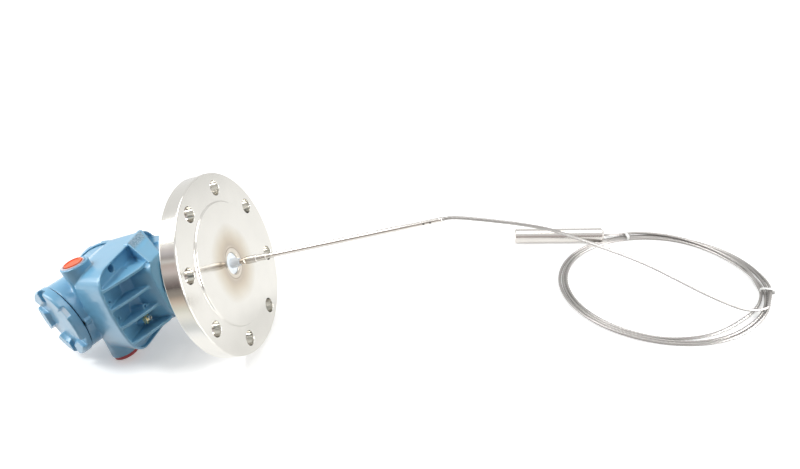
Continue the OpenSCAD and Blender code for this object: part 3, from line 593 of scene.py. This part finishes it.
def stranded_tube(name, line, diameter, strands, lay):
    """Wire rope: grooves between its outer strands wind round the line"""
    mesh = bpy.data.meshes.new(name)
    work = bmesh.new()
    rings, sides, walked = [], 3 * strands, 0.0
    across = None
    for i, p in enumerate(line):
        ahead = (line[min(i + 1, len(line) - 1)] - line[max(i - 1, 0)]).normalized()
        side = ahead.orthogonal() if across is None else across - across.dot(ahead) * ahead
        across = side.normalized()
        third = ahead.cross(across)
        if i:
            walked += (p - line[i - 1]).length
        ring = []
        for k in range(sides):
            a = 2 * math.pi * (k / sides + walked / lay)
            reach = diameter / 2 * (GROOVE if k % 3 == 0 else 1.0)
            spoke = math.cos(a) * across + math.sin(a) * third
            ring.append(work.verts.new(p + reach * spoke))
        rings.append(ring)
    for a, b in zip(rings, rings[1:]):
        for k in range(sides):
            n = (k + 1) % sides
            work.faces.new((a[k], a[n], b[n], b[k]))
    work.faces.new(list(reversed(rings[0])))
    work.faces.new(rings[-1])
    work.to_mesh(mesh)
    work.free()
    piece = bpy.data.objects.new(name, mesh)
    bpy.context.scene.collection.objects.link(piece)
    activate(piece)
    bpy.ops.object.shade_smooth_by_angle(angle=math.radians(50))
    return piece


class TRANSMITTER_OT_wire_lead(bpy.types.Operator):
    """Lays the stranded wire from the chuck through its coil to the end weight"""

    bl_idname = "transmitter.wire_lead"
    bl_label = "Wire lead"

    def execute(self, context):
        finish, sizes = context.scene.transmitter_finish, context.scene.transmitter_sizes
        line, length = smooth_line(wire_route(), LINE_STEP)
        wire = stranded_tube("wire_lead", line, sizes.wire_diameter, sizes.strands, sizes.wire_lay)
        wire.data.materials.append(
            brushed_steel("strand steel", tuple(finish.wire), (0.22, 0.4), 900))
        keep(wire, "base", "wire_steel", "lead_run", "lead_coil", "lead_tail")
        return {"FINISHED"}


# Angle round the coil in degrees, and the radii between which each tie goes round the turns
TIES = ((105, 0.1268, 0.1402), (-6, 0.1226, 0.1404))
TIE_TOP, TIE_BOTTOM, TIE_WALL = 0.0090, 0.0006, 0.0008
# 2 would make a tie's outline round, and more makes it boxy
TIE_SQUARENESS = 3.2
# Lock of a tie: its reach outwards and upwards in metres, and its length in tie widths
LOCK_OUT, LOCK_UP, LOCK_LENGTH = 0.0042, 0.0052, 1.35
# How far it sits in the band, in metres, and its rise as a share of half the band's height
LOCK_SUNK, LOCK_RAISED = 0.0012, 0.15


class TRANSMITTER_OT_ties(bpy.types.Operator):
    """Puts the two plastic ties round the coil"""

    bl_idname = "transmitter.ties"
    bl_label = "Coil ties"

    def execute(self, context):
        width = context.scene.transmitter_sizes.tie_width
        nylon = plastic("white nylon", tone("f4f4f1"), (0.25, 0.4),
                        Subsurface_Weight=0.15, Subsurface_Radius=(0.002,) * 3)
        for number, (angle, inner, outer) in enumerate(TIES, 1):
            half_w, half_h = (outer - inner) / 2, (TIE_TOP - TIE_BOTTOM) / 2
            tie = self.band(f"coil_tie_{number}", width, half_w, half_h)
            lock = self.lock(width, half_w, half_h)
            activate(tie)
            lock.select_set(True)
            bpy.ops.object.join()
            a = math.radians(angle)
            radial = Vector((math.cos(a), math.sin(a), 0))
            tangent = Vector((-math.sin(a), math.cos(a), 0))
            centre = COIL_CENTRE + radial * ((inner + outer) / 2)
            centre += Vector((0, 0, half_h + TIE_BOTTOM))
            tie.data.transform(place(radial, UP, -tangent, centre))
            tie.matrix_world = Matrix.Identity(4)
            activate(tie)
            bpy.ops.object.shade_smooth_by_angle(angle=math.radians(40))
            tie.data.materials.append(nylon)
            keep(tie, "base", "tie_plastic", f"tie_{number}")
        return {"FINISHED"}

    def band(self, name, width, half_w, half_h):
        """Band of a tie, squeezed to the rounded box that the turns fill"""
        deselect_all()
        bpy.ops.mesh.primitive_cylinder_add(
            vertices=40, radius=1, depth=width, end_fill_type="NOTHING")
        tie = context_piece(name)
        for v in tie.data.vertices:
            x, y = v.co.x, v.co.y
            bulge = (abs(x) ** TIE_SQUARENESS + abs(y) ** TIE_SQUARENESS) ** (-1 / TIE_SQUARENESS)
            v.co.x, v.co.y = x * bulge * half_w, y * bulge * half_h
        apply_modifier(tie, "SOLIDIFY", thickness=TIE_WALL, offset=-1)
        apply_modifier(tie, "BEVEL", width=0.00025, segments=2, limit_method="ANGLE")
        return tie

    def lock(self, width, half_w, half_h):
        """Lock of a tie, a small block on the outer side of the coil"""
        deselect_all()
        bpy.ops.mesh.primitive_cube_add(size=1)
        lock = context_piece("lock")
        for v in lock.data.vertices:
            v.co = Vector((
                v.co.x * LOCK_OUT + half_w - LOCK_SUNK,
                v.co.y * LOCK_UP + half_h * LOCK_RAISED,
                v.co.z * width * LOCK_LENGTH))
        activate(lock)
        bpy.ops.object.mode_set(mode="EDIT")
        bpy.ops.mesh.select_all(action="SELECT")
        bpy.ops.mesh.bevel(offset=0.0007, segments=3, affect="EDGES")
        bpy.ops.object.mode_set(mode="OBJECT")
        return lock


class TRANSMITTER_OT_end_weight(bpy.types.Operator):
    """Finishes the end weight and its two set screws"""

    bl_idname = "transmitter.end_weight"
    bl_label = "End weight"

    def execute(self, context):
        finish = context.scene.transmitter_finish
        weight = copy_of("end_weight", "end_weight_finished")
        soften(weight, 0.5)
        matrix = along(WEIGHT_AXIS, WEIGHT_END)
        weight.data.materials.append(turned_steel(
            "weight steel", shade(finish.fittings, 0.9), matrix, (0.16, 0.3), 1400, 0.000012))
        keep(weight, "base", "fitting_steel", "end_weight")
        paint_node("weight_screws", brushed_steel("dark set screws", tone("8b8b89"), (0.3, 0.5)))
        return {"FINISHED"}


# -------------------------------------------------------------------- flange

# Radius of the weld's centre line, the bead's own radius and its depth behind the raised face
WELD_RADIUS, BEAD_RADIUS, WELD_DEPTH = 0.0246, 0.0024, 0.0249
# Ripples on half a turn
WELD_RIPPLES = 26


class TRANSMITTER_OT_flange(bpy.types.Operator):
    """Finishes the flange, the neck welded on it and the swivel nut"""

    bl_idname = "transmitter.flange"
    bl_label = "Flange and tank connection"

    def execute(self, context):
        finish = context.scene.transmitter_finish
        flange = copy_of("flange", "flange_finished")
        soften(flange, 0.6, 3)
        flange.data.materials.append(turned_steel(
            "turned flange steel", tuple(finish.steel), FLANGE, (0.07, 0.17), 1300, 0.000004,
            welded=True))
        keep(flange, "base", "flange_steel", "flange")
        fittings = turned_steel(
            "fitting steel", tuple(finish.fittings), FLANGE, (0.14, 0.28), 1500)
        for node, edge in (("tank_connection", 0.5), ("swivel_nut", 0.6)):
            piece = copy_of(node, node + "_finished")
            soften(piece, edge)
            piece.data.materials.append(fittings)
            keep(piece, "base", "fitting_steel", node)
        self.weld(context)
        return {"FINISHED"}

    def weld(self, context):
        """Weld bead with its ripples, round the foot of the neck"""
        deselect_all()
        bpy.ops.mesh.primitive_torus_add(
            major_radius=WELD_RADIUS, minor_radius=BEAD_RADIUS,
            major_segments=240, minor_segments=14)
        bead = context_piece("weld_bead_finished")
        for v in bead.data.vertices:
            a = math.atan2(v.co.y, v.co.x)
            wobble = 0.03 * noise.noise(Vector((a * 5, 0, 0)))
            ripple = 1 + 0.10 * abs(math.sin(a * WELD_RIPPLES)) + wobble
            radial = Vector((v.co.x, v.co.y, 0)).normalized() * WELD_RADIUS
            v.co = radial + (v.co - radial) * ripple
        axes = [FLANGE.col[i].to_3d() for i in range(3)]
        bead.data.transform(place(*axes, HUB - PROBE * WELD_DEPTH))
        bead.matrix_world = Matrix.Identity(4)
        activate(bead)
        bpy.ops.object.shade_smooth()
        bead.data.materials.append(brushed_steel("weld steel", tone("a59c90"), (0.3, 0.5), 1200))
        keep(bead, "base", "weld", "weld_bead")


class TRANSMITTER_OT_probe(bpy.types.Operator):
    """Finishes the rod, the chuck and the white seal"""

    bl_idname = "transmitter.probe"
    bl_label = "Rigid probe"

    def execute(self, context):
        finish = context.scene.transmitter_finish
        polished = turned_steel(
            "polished rod steel", tuple(finish.fittings), FLANGE, (0.1, 0.22), 2600, 0.000006)
        for node, edge in (("probe_rod", 0.15), ("wire_chuck", 0.1)):
            piece = copy_of(node, node + "_finished")
            soften(piece, edge)
            piece.data.materials.append(polished)
            keep(piece, "base", "fitting_steel", node)
        bushing = copy_of("seal_bushing", "seal_bushing_finished")
        soften(bushing, 0.3)
        bushing.data.materials.append(
            plastic("white seal plastic", tone("eef4fa"), (0.3, 0.42),
                    Subsurface_Weight=0.2, Subsurface_Radius=(0.002,) * 3))
        keep(bushing, "base", "white_plastic", "seal_bushing")
        paint_node("chuck_screws", brushed_steel("chuck screw steel", tone("807e7a"), (0.3, 0.5)))
        paint_node("insulator", bushing.data.materials[0])
        return {"FINISHED"}


# ---------------------------------------------------------------------- head

# Axis and mouth of the upper conduit entry in the head, and radii in it, in millimetres
ENTRY_X, ENTRY_Z, ENTRY_MOUTH = 47, 171.5, 66.5
ENTRY_BORE, PLUG_HEAD, PLUG_SEAT = 10.2, 11.7, 14.45
# Part of the entries that stays sharp: its radius, and its least distance from the head's axis
ENTRY_KEPT, ENTRY_INNER = 11.2, 40
# Radius and top of the neck's bore, and top of the casting's foot, which stay sharp too
SPIGOT_KEPT, SPIGOT_TOP, FOOT_TOP = 18, 106, 84.8
# Mouths of the two compartments, as distances in metres from the point where their axes meet
FRONT_MOUTH, REAR_MOUTH = 0.0635, 0.046
APEX = Vector(JOINTS["terminal_cover_turn"]["pos_m"]) - FRONT * FRONT_MOUTH
# What stays sharp in them: a bore of one radius from this depth on, and a face of another radius
# from just before the mouth
BORE_START, BORE_KEPT, FACE_KEPT, FACE_DEPTH = 0.022, 0.0412, 0.0475, 0.0004
COVER_VOXEL_QUICK, COVER_VOXEL, COVER_COLLAR = 1.1, 0.62, 0.0018
SMOOTHING_ROUNDS = 5
# Most triangles of the casting and of a cover
CASTING_FACES, COVER_FACES = 190000, 150000
# Edge of a side gusset in the head, in millimetres: its x at a height, and how it slopes
GUSSET_X, GUSSET_Z, GUSSET_SLOPE = 5, 123, 0.72
# Its rough panel: from and to which height, how far behind the edge, and how far out at least
PANEL_HEIGHTS, PANEL_INSETS, PANEL_SIDE = (104, 124.5), (33, 3.5), 44


def in_bore(point):
    """True inside the machined bores of the casting"""
    d = point - APEX
    for axis, mouth in ((FRONT, FRONT_MOUTH), (REAR, REAR_MOUTH)):
        depth = d.dot(axis)
        reach = (d - axis * depth).length
        if depth > BORE_START and reach < BORE_KEPT:
            return True
        if depth > mouth - FACE_DEPTH and reach < FACE_KEPT:
            return True
    p = HEAD_INVERSE @ point / MM
    if math.hypot(p.x - ENTRY_X, p.z - ENTRY_Z) < ENTRY_KEPT and abs(p.y) > ENTRY_INNER:
        return True
    if math.hypot(p.x, p.y) < SPIGOT_KEPT and p.z < SPIGOT_TOP:
        return True
    return p.z < FOOT_TOP


class TRANSMITTER_OT_casting(bpy.types.Operator):
    """Gives the head's casting its soft corners and enamel"""

    bl_idname = "transmitter.casting"
    bl_label = "Painted casting"

    def execute(self, context):
        finish, sizes = context.scene.transmitter_finish, context.scene.transmitter_sizes
        casting = copy_of("housing", "casting")
        voxel = sizes.casting_corner / MM * 1
        cast(casting, voxel, SMOOTHING_ROUNDS, in_bore, CASTING_FACES)
        casting.data.materials.append(casting_paint("blue enamel", tuple(finish.paint)))
        casting.data.materials.append(rough_casting("rough panel", tuple(finish.paint), HEAD))
        self.panels(casting)
        keep(casting, "head", "blue_casting", "housing")
        return {"FINISHED"}

    def panels(self, casting):
        """The sunk outer faces of the side gussets stay rough"""
        inverse = HEAD_INVERSE.to_3x3()
        for face in casting.data.polygons:
            p = HEAD_INVERSE @ face.center / MM
            n = inverse @ face.normal
            edge = GUSSET_X + (GUSSET_Z - p.z) * GUSSET_SLOPE
            level = PANEL_HEIGHTS[0] < p.z < PANEL_HEIGHTS[1]
            behind = edge - PANEL_INSETS[0] < p.x < edge - PANEL_INSETS[1]
            outward = abs(n.y) > 0.45 and n.z < -0.1
            if level and behind and abs(p.y) > PANEL_SIDE and outward:
                face.material_index = 1


class TRANSMITTER_OT_covers(bpy.types.Operator):
    """Finishes both screwed covers with their lugs, and their seals"""

    bl_idname = "transmitter.covers"
    bl_label = "Screwed covers"

    def execute(self, context):
        finish = context.scene.transmitter_finish
        enamel = bpy.data.materials.get("blue enamel")
        enamel = enamel or casting_paint("blue enamel", tuple(finish.paint))
        rubber = plastic("black rubber", tone("151719"), (0.6, 0.8))
        for node, axis, body, seal in (
                ("terminal_cover", FRONT, "terminal_lid", "terminal_cover_seal"),
                ("electronics_cover", REAR, "electronics_lid", "electronics_cover_seal")):
            seat = Vector(JOINTS[node + "_turn"]["pos_m"])
            lid = copy_of(node, node + "_finished")
            voxel = COVER_VOXEL
            cast(lid, voxel, SMOOTHING_ROUNDS,
                 lambda p: (p - seat).dot(axis) < COVER_COLLAR, COVER_FACES)
            lid.data.materials.append(enamel)
            keep(lid, body, "blue_casting", node)
            paint_node(seal, rubber)
        return {"FINISHED"}


class TRANSMITTER_OT_plugs(bpy.types.Operator):
    """Finishes the plastic plugs of the conduit entries"""

    bl_idname = "transmitter.plugs"
    bl_label = "Conduit plugs"

    def execute(self, context):
        finish = context.scene.transmitter_finish
        for node, body, slot, colour in (
                ("upper_plug", "upper_entry_plug", "orange_plastic", finish.upper_plug),
                ("lower_plug", "lower_entry_plug", "red_plastic", finish.lower_plug)):
            piece = copy_of(node, node + "_finished")
            if node == "upper_plug":
                self.narrow(piece)
            soften(piece, 0.4, 3)
            piece.data.materials.append(
                plastic(node + " plastic", tuple(colour), (0.3, 0.45), Coat_Weight=0.1))
            keep(piece, body, slot, node)
        self.seat_ring()
        return {"FINISHED"}

    def narrow(self, plug):
        """Draws the plug's head in, off the pale ring of its seat, which carries a painted highlight"""
        factor = PLUG_HEAD / PLUG_SEAT
        for v in plug.data.vertices:
            p = HEAD_INVERSE @ v.co / MM
            if math.hypot(p.x - ENTRY_X, p.z - ENTRY_Z) > ENTRY_BORE + 0.5:
                p.x = ENTRY_X + (p.x - ENTRY_X) * factor
                p.z = ENTRY_Z + (p.z - ENTRY_Z) * factor
                v.co = HEAD @ (p * MM)

    def seat_ring(self):
        """Ring round the upper plug: the bare machined face of its seat, with a painted highlight in its pale
        colour
        """
        deselect_all()
        bpy.ops.mesh.primitive_cylinder_add(
            vertices=96, radius=PLUG_SEAT * MM, depth=0.0024, end_fill_type="NOTHING")
        ring = context_piece("upper_entry_ring")
        wall = (PLUG_SEAT - PLUG_HEAD - 0.2) * MM
        apply_modifier(ring, "SOLIDIFY", thickness=wall, offset=-1)
        apply_modifier(ring, "BEVEL", width=0.0003, segments=2, limit_method="ANGLE")
        seat = HEAD @ (Vector((ENTRY_X, ENTRY_MOUTH - 0.9, ENTRY_Z)) * MM)
        ring.data.transform(place(HEAD_UP, FORWARD, ENTRY_UP, seat))
        activate(ring)
        bpy.ops.object.shade_smooth_by_angle(angle=SHARP_ANGLE)
        # Pale pinkish colour: partly the bare machined face, partly a painted highlight on it
        ring.data.materials.append(
            plastic("bare entry face and painted highlight", tone("e6dde2"), (0.3, 0.4), Metallic=0.2))
        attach(ring, "head")
        deselect_all()


class TRANSMITTER_OT_earth(bpy.types.Operator):
    """Finishes the outer earth screw, its clamp and the cover screws"""

    bl_idname = "transmitter.earth"
    bl_label = "Earth screw"

    def execute(self, context):
        clamp = copy_of("ground_clamp", "ground_clamp_finished")
        soften(clamp, 0.25)
        clamp.data.materials.append(brushed_steel("plated brass", tone("e8dcb0"), (0.2, 0.35)))
        keep(clamp, "head", "brass", "ground_clamp")
        screw = copy_of("ground_screw", "ground_screw_finished")
        soften(screw, 0.3)
        screw.data.materials.append(brushed_steel("screw steel", tone("e6e4de"), (0.15, 0.3)))
        keep(screw, "head", "screw_steel", "ground_screw")
        for node in ("terminal_cover_screw", "electronics_cover_screw"):
            paint_node(node, brushed_steel("set screw steel", tone("9aa0a3"), (0.3, 0.5)))
        return {"FINISHED"}


class TRANSMITTER_OT_inside(bpy.types.Operator):
    """Finishes the pieces inside the head"""

    bl_idname = "transmitter.inside"
    bl_label = "Inside of the head"

    def execute(self, context):
        finish = context.scene.transmitter_finish
        black = plastic("black moulding", tone("1b1d20"), (0.45, 0.6))
        screws = brushed_steel("terminal screw steel", tone("c9c8c4"), (0.2, 0.35))
        brass = brushed_steel("conductor brass", tone("d9b56a"), (0.2, 0.35))
        spigot = turned_steel("spigot steel", tuple(finish.fittings), FLANGE, (0.15, 0.28))
        for node in ("terminal_block", "electronics_module"):
            piece = copy_of(node, node + "_finished")
            soften(piece, 0.4)
            piece.data.materials.append(black)
            keep(piece, "head", "black_plastic", node)
        for node in ("terminal_screws", "inner_ground_screw", "module_screws"):
            paint_node(node, screws)
        paint_node("head_seal", plastic("seal rubber", tone("151719"), (0.6, 0.8)))
        paint_node("head_spigot", spigot)
        paint_node("centre_conductor", brass)
        return {"FINISHED"}


# --------------------------------------------------------------------- stage

# Distance in front of the object, in metres, and what metal sees of the table there
TABLE_BANDS = [
    (0.145, WHITE), (0.17, (0.924, 0.936, 0.96)), (0.192, (0.696, 0.72, 0.744)),
    (0.217, (0.636, 0.66, 0.672)), (0.24, (0.732, 0.744, 0.744)), (0.28, (0.828, 0.828, 0.792)),
    (0.32, (0.828, 0.828, 0.78)), (0.38, (0.672, 0.672, 0.6)), (0.46, (0.636, 0.588, 0.516)),
    (0.57, (0.552, 0.462, 0.384)), (0.79, (0.348, 0.276, 0.222)), (0.98, (0.198, 0.178, 0.152))]
# Height of the direction and what metal sees of the room there
ROOM_BANDS = [
    (0.0, (0.14, 0.12, 0.115)), (0.04, (0.235, 0.192, 0.192)), (0.105, (0.336, 0.29, 0.286)),
    (0.17, (0.486, 0.444, 0.43)), (0.235, (0.798, 0.72, 0.708)), (0.30, (0.732, 0.636, 0.624)),
    (0.36, (0.618, 0.523, 0.48)), (0.395, WHITE), (0.43, (0.348, 0.307, 0.296)),
    (0.48, (0.66, 0.636, 0.678)), (0.52, (0.756, 0.708, 0.72)), (0.55, (0.876, 0.816, 0.804)),
    (0.575, WHITE), (0.6, WHITE)]
# x over which the bands come in: of a place on the table in metres, and of a direction in the room
TABLE_ASIDE, ROOM_ASIDE = (0.35, 0.2), (0.6, 0.35)
# y of a direction over which the darker room comes in
ROOM_AHEAD = (-0.05, -0.3)
# Share of the table's colour that lights the object, and glow of the table to metal
TABLE_BOUNCE, METAL_GLOW = 0.5, 0.4
# Distances between which the table glows more, in metres, and its glow there
GLOW_REACH, GLOW_LEVELS = (0.9, 2.2), (0.4, 1.0)
# Strength of the room as a light, where the eye and metal see 1
ROOM_LIGHT = 0.07
# Name, place, aim, size in metres and power in watts
LAMPS = [
    ("key", (-1.65, -0.4, 2.1), (-0.1, 0.0, 0.1), 1.0, 42),
    ("top", (0.6, 0.3, 2.5), (0.0, 0.0, 0.1), 1.6, 22),
    ("side", (-2.4, -0.5, 1.1), (-0.15, 0.0, 0.1), 1.1, 24),
    ("front", (2.0, 0.0, 0.66), (0.0, 0.0, 0.12), 0.8, 34)]


class TRANSMITTER_OT_stage(bpy.types.Operator):
    """Pale table top, soft lamps and a bright surrounding"""

    bl_idname = "transmitter.stage"
    bl_label = "Stage"

    def execute(self, context):
        deselect_all()
        bpy.ops.mesh.primitive_plane_add(size=14, location=(0.3, 0.2, 0))
        floor = context_piece("floor")
        floor.data.transform(floor.matrix_world)
        floor.matrix_world = Matrix.Identity(4)
        floor.data.materials.append(self.floor_material())
        self.world(context)
        for lamp in LAMPS:
            self.lamp(*lamp)
        return {"FINISHED"}

    def floor_material(self):
        """White table; metal sees its front edge and the darker room before it as bands"""
        r = Recipe("table top", roughness=0.35)
        ray = r.add("ShaderNodeLightPath").outputs
        at = r.split(r.coords)
        away = r.math("ADD", at["Y"], r.math("MULTIPLY", at["X"], 0.08))
        bands = r.ramp(r.math("MULTIPLY", away, -1.0), TABLE_BANDS)
        top = r.mix(r.noise(3, 2), (0.78, 0.78, 0.775), (0.82, 0.82, 0.815))
        banded = r.math("MULTIPLY", ray["Is Glossy Ray"], r.span(at["X"], *TABLE_ASIDE))
        shown = r.mix(banded, WHITE, bands)
        lit = r.mix(ray["Is Diffuse Ray"], WHITE, (TABLE_BOUNCE,) * 3)
        r.colour(r.mix(1.0, r.mix(1.0, top, lit, "MULTIPLY"), shown, "MULTIPLY"))
        glow = r.add("ShaderNodeEmission")
        r.link(shown, glow.inputs["Color"])
        # the lamps reach only the middle of the table, so it glows more further out
        reach = r.add("ShaderNodeVectorMath", operation="LENGTH")
        r.link(r.coords, reach.inputs[0])
        level = r.span(reach.outputs["Value"], *GLOW_REACH, *GLOW_LEVELS, kind="SMOOTHSTEP")
        shown_glow = r.math("MULTIPLY", ray["Is Camera Ray"], level)
        metal_glow = r.math("MULTIPLY", ray["Is Glossy Ray"], METAL_GLOW)
        r.link(r.math("ADD", shown_glow, metal_glow), glow.inputs["Strength"])
        both = r.add("ShaderNodeAddShader")
        r.link(r.shader.outputs[0], both.inputs[0])
        r.link(glow.outputs[0], both.inputs[1])
        r.link(both.outputs[0], r.tree.nodes["Material Output"].inputs["Surface"])
        return r.material

    def world(self, context):
        """White to the eye, dimmer as a light, with a darker room in front for metal to show"""
        world = bpy.data.worlds.new("bright room")
        context.scene.world = world
        world.use_nodes = True
        nodes, link = world.node_tree.nodes, world.node_tree.links.new

        def span(source, start, end, low, high, kind="LINEAR"):
            made = nodes.new("ShaderNodeMapRange")
            made.interpolation_type = kind
            limits = {"From Min": start, "From Max": end, "To Min": low, "To Max": high}
            for name, value in limits.items():
                made.inputs[name].default_value = value
            link(source, made.inputs["Value"])
            return made.outputs[0]

        def both(operation, a, b):
            made = nodes.new("ShaderNodeMath")
            made.operation = operation
            link(a, made.inputs[0])
            link(b, made.inputs[1])
            return made.outputs[0]

        ray = nodes.new("ShaderNodeLightPath").outputs
        split = nodes.new("ShaderNodeSeparateXYZ")
        link(nodes.new("ShaderNodeTexCoord").outputs["Generated"], split.inputs[0])
        at = split.outputs
        ahead = span(at["Y"], *ROOM_AHEAD, 0.0, 1.0, "SMOOTHSTEP")
        dark = both("MULTIPLY", ahead, span(at["X"], *ROOM_ASIDE, 0.0, 1.0))
        bands = nodes.new("ShaderNodeValToRGB")
        fill_ramp(bands.color_ramp, ROOM_BANDS)
        link(at["Z"], bands.inputs["Fac"])
        tint = nodes.new("ShaderNodeMix")
        tint.data_type = "RGBA"
        tint.inputs[MIX_A].default_value = (*WHITE, 1)
        link(bands.outputs["Color"], tint.inputs[MIX_B])
        link(both("MULTIPLY", dark, ray["Is Glossy Ray"]), tint.inputs[MIX_FACTOR])
        seen = both("MAXIMUM", ray["Is Camera Ray"], ray["Is Glossy Ray"])
        back = nodes["Background"]
        link(tint.outputs[MIX_RESULT], back.inputs["Color"])
        link(span(seen, 0.0, 1.0, ROOM_LIGHT, 1.0), back.inputs["Strength"])

    def lamp(self, name, place_at, aim, size, power):
        """Square lamp that points at its aim"""
        data = bpy.data.lights.new(name, "AREA")
        data.size = size
        data.energy = power
        lamp = bpy.data.objects.new(name, data)
        lamp.location = place_at
        lamp.rotation_euler = (Vector(aim) - Vector(place_at)).to_track_quat("-Z", "Y").to_euler()
        bpy.context.scene.collection.objects.link(lamp)


# --------------------------------------------------------------------- panel

OPERATORS = [
    TRANSMITTER_OT_camera,
    TRANSMITTER_OT_ties,
    TRANSMITTER_OT_end_weight,
    TRANSMITTER_OT_wire_lead,
    TRANSMITTER_OT_flange,
    TRANSMITTER_OT_probe,
    TRANSMITTER_OT_casting,
    TRANSMITTER_OT_covers,
    TRANSMITTER_OT_plugs,
    TRANSMITTER_OT_earth,
    TRANSMITTER_OT_inside,
    TRANSMITTER_OT_stage,
]


class TRANSMITTER_PT_panel(bpy.types.Panel):
    """Lists the pieces of the transmitter"""

    bl_label = "Radar level transmitter"
    bl_idname = "TRANSMITTER_PT_panel"
    bl_space_type = "VIEW_3D"
    bl_region_type = "UI"
    bl_category = "Transmitter"

    def draw(self, context):
        column = self.layout.column(align=True)
        for operator in OPERATORS:
            column.operator(operator.bl_idname, text=operator.bl_label)
        column.separator()
        for group in (context.scene.transmitter_finish, context.scene.transmitter_sizes):
            for name in group.__annotations__:
                column.prop(group, name)


CLASSES = [TRANSMITTER_PG_finish, TRANSMITTER_PG_sizes, *OPERATORS, TRANSMITTER_PT_panel]


def register():
    for item in CLASSES:
        bpy.utils.register_class(item)
    bpy.types.Scene.transmitter_finish = PointerProperty(type=TRANSMITTER_PG_finish)
    bpy.types.Scene.transmitter_sizes = PointerProperty(type=TRANSMITTER_PG_sizes)


def unregister():
    del bpy.types.Scene.transmitter_finish
    del bpy.types.Scene.transmitter_sizes
    for item in reversed(CLASSES):
        bpy.utils.unregister_class(item)


def main():
    register()
    for operator in OPERATORS:
        group, name = operator.bl_idname.split(".")
        if getattr(getattr(bpy.ops, group), name)() != {"FINISHED"}:
            raise RuntimeError(operator.bl_label + " didn't finish")


if __name__ == "__main__":
    main()
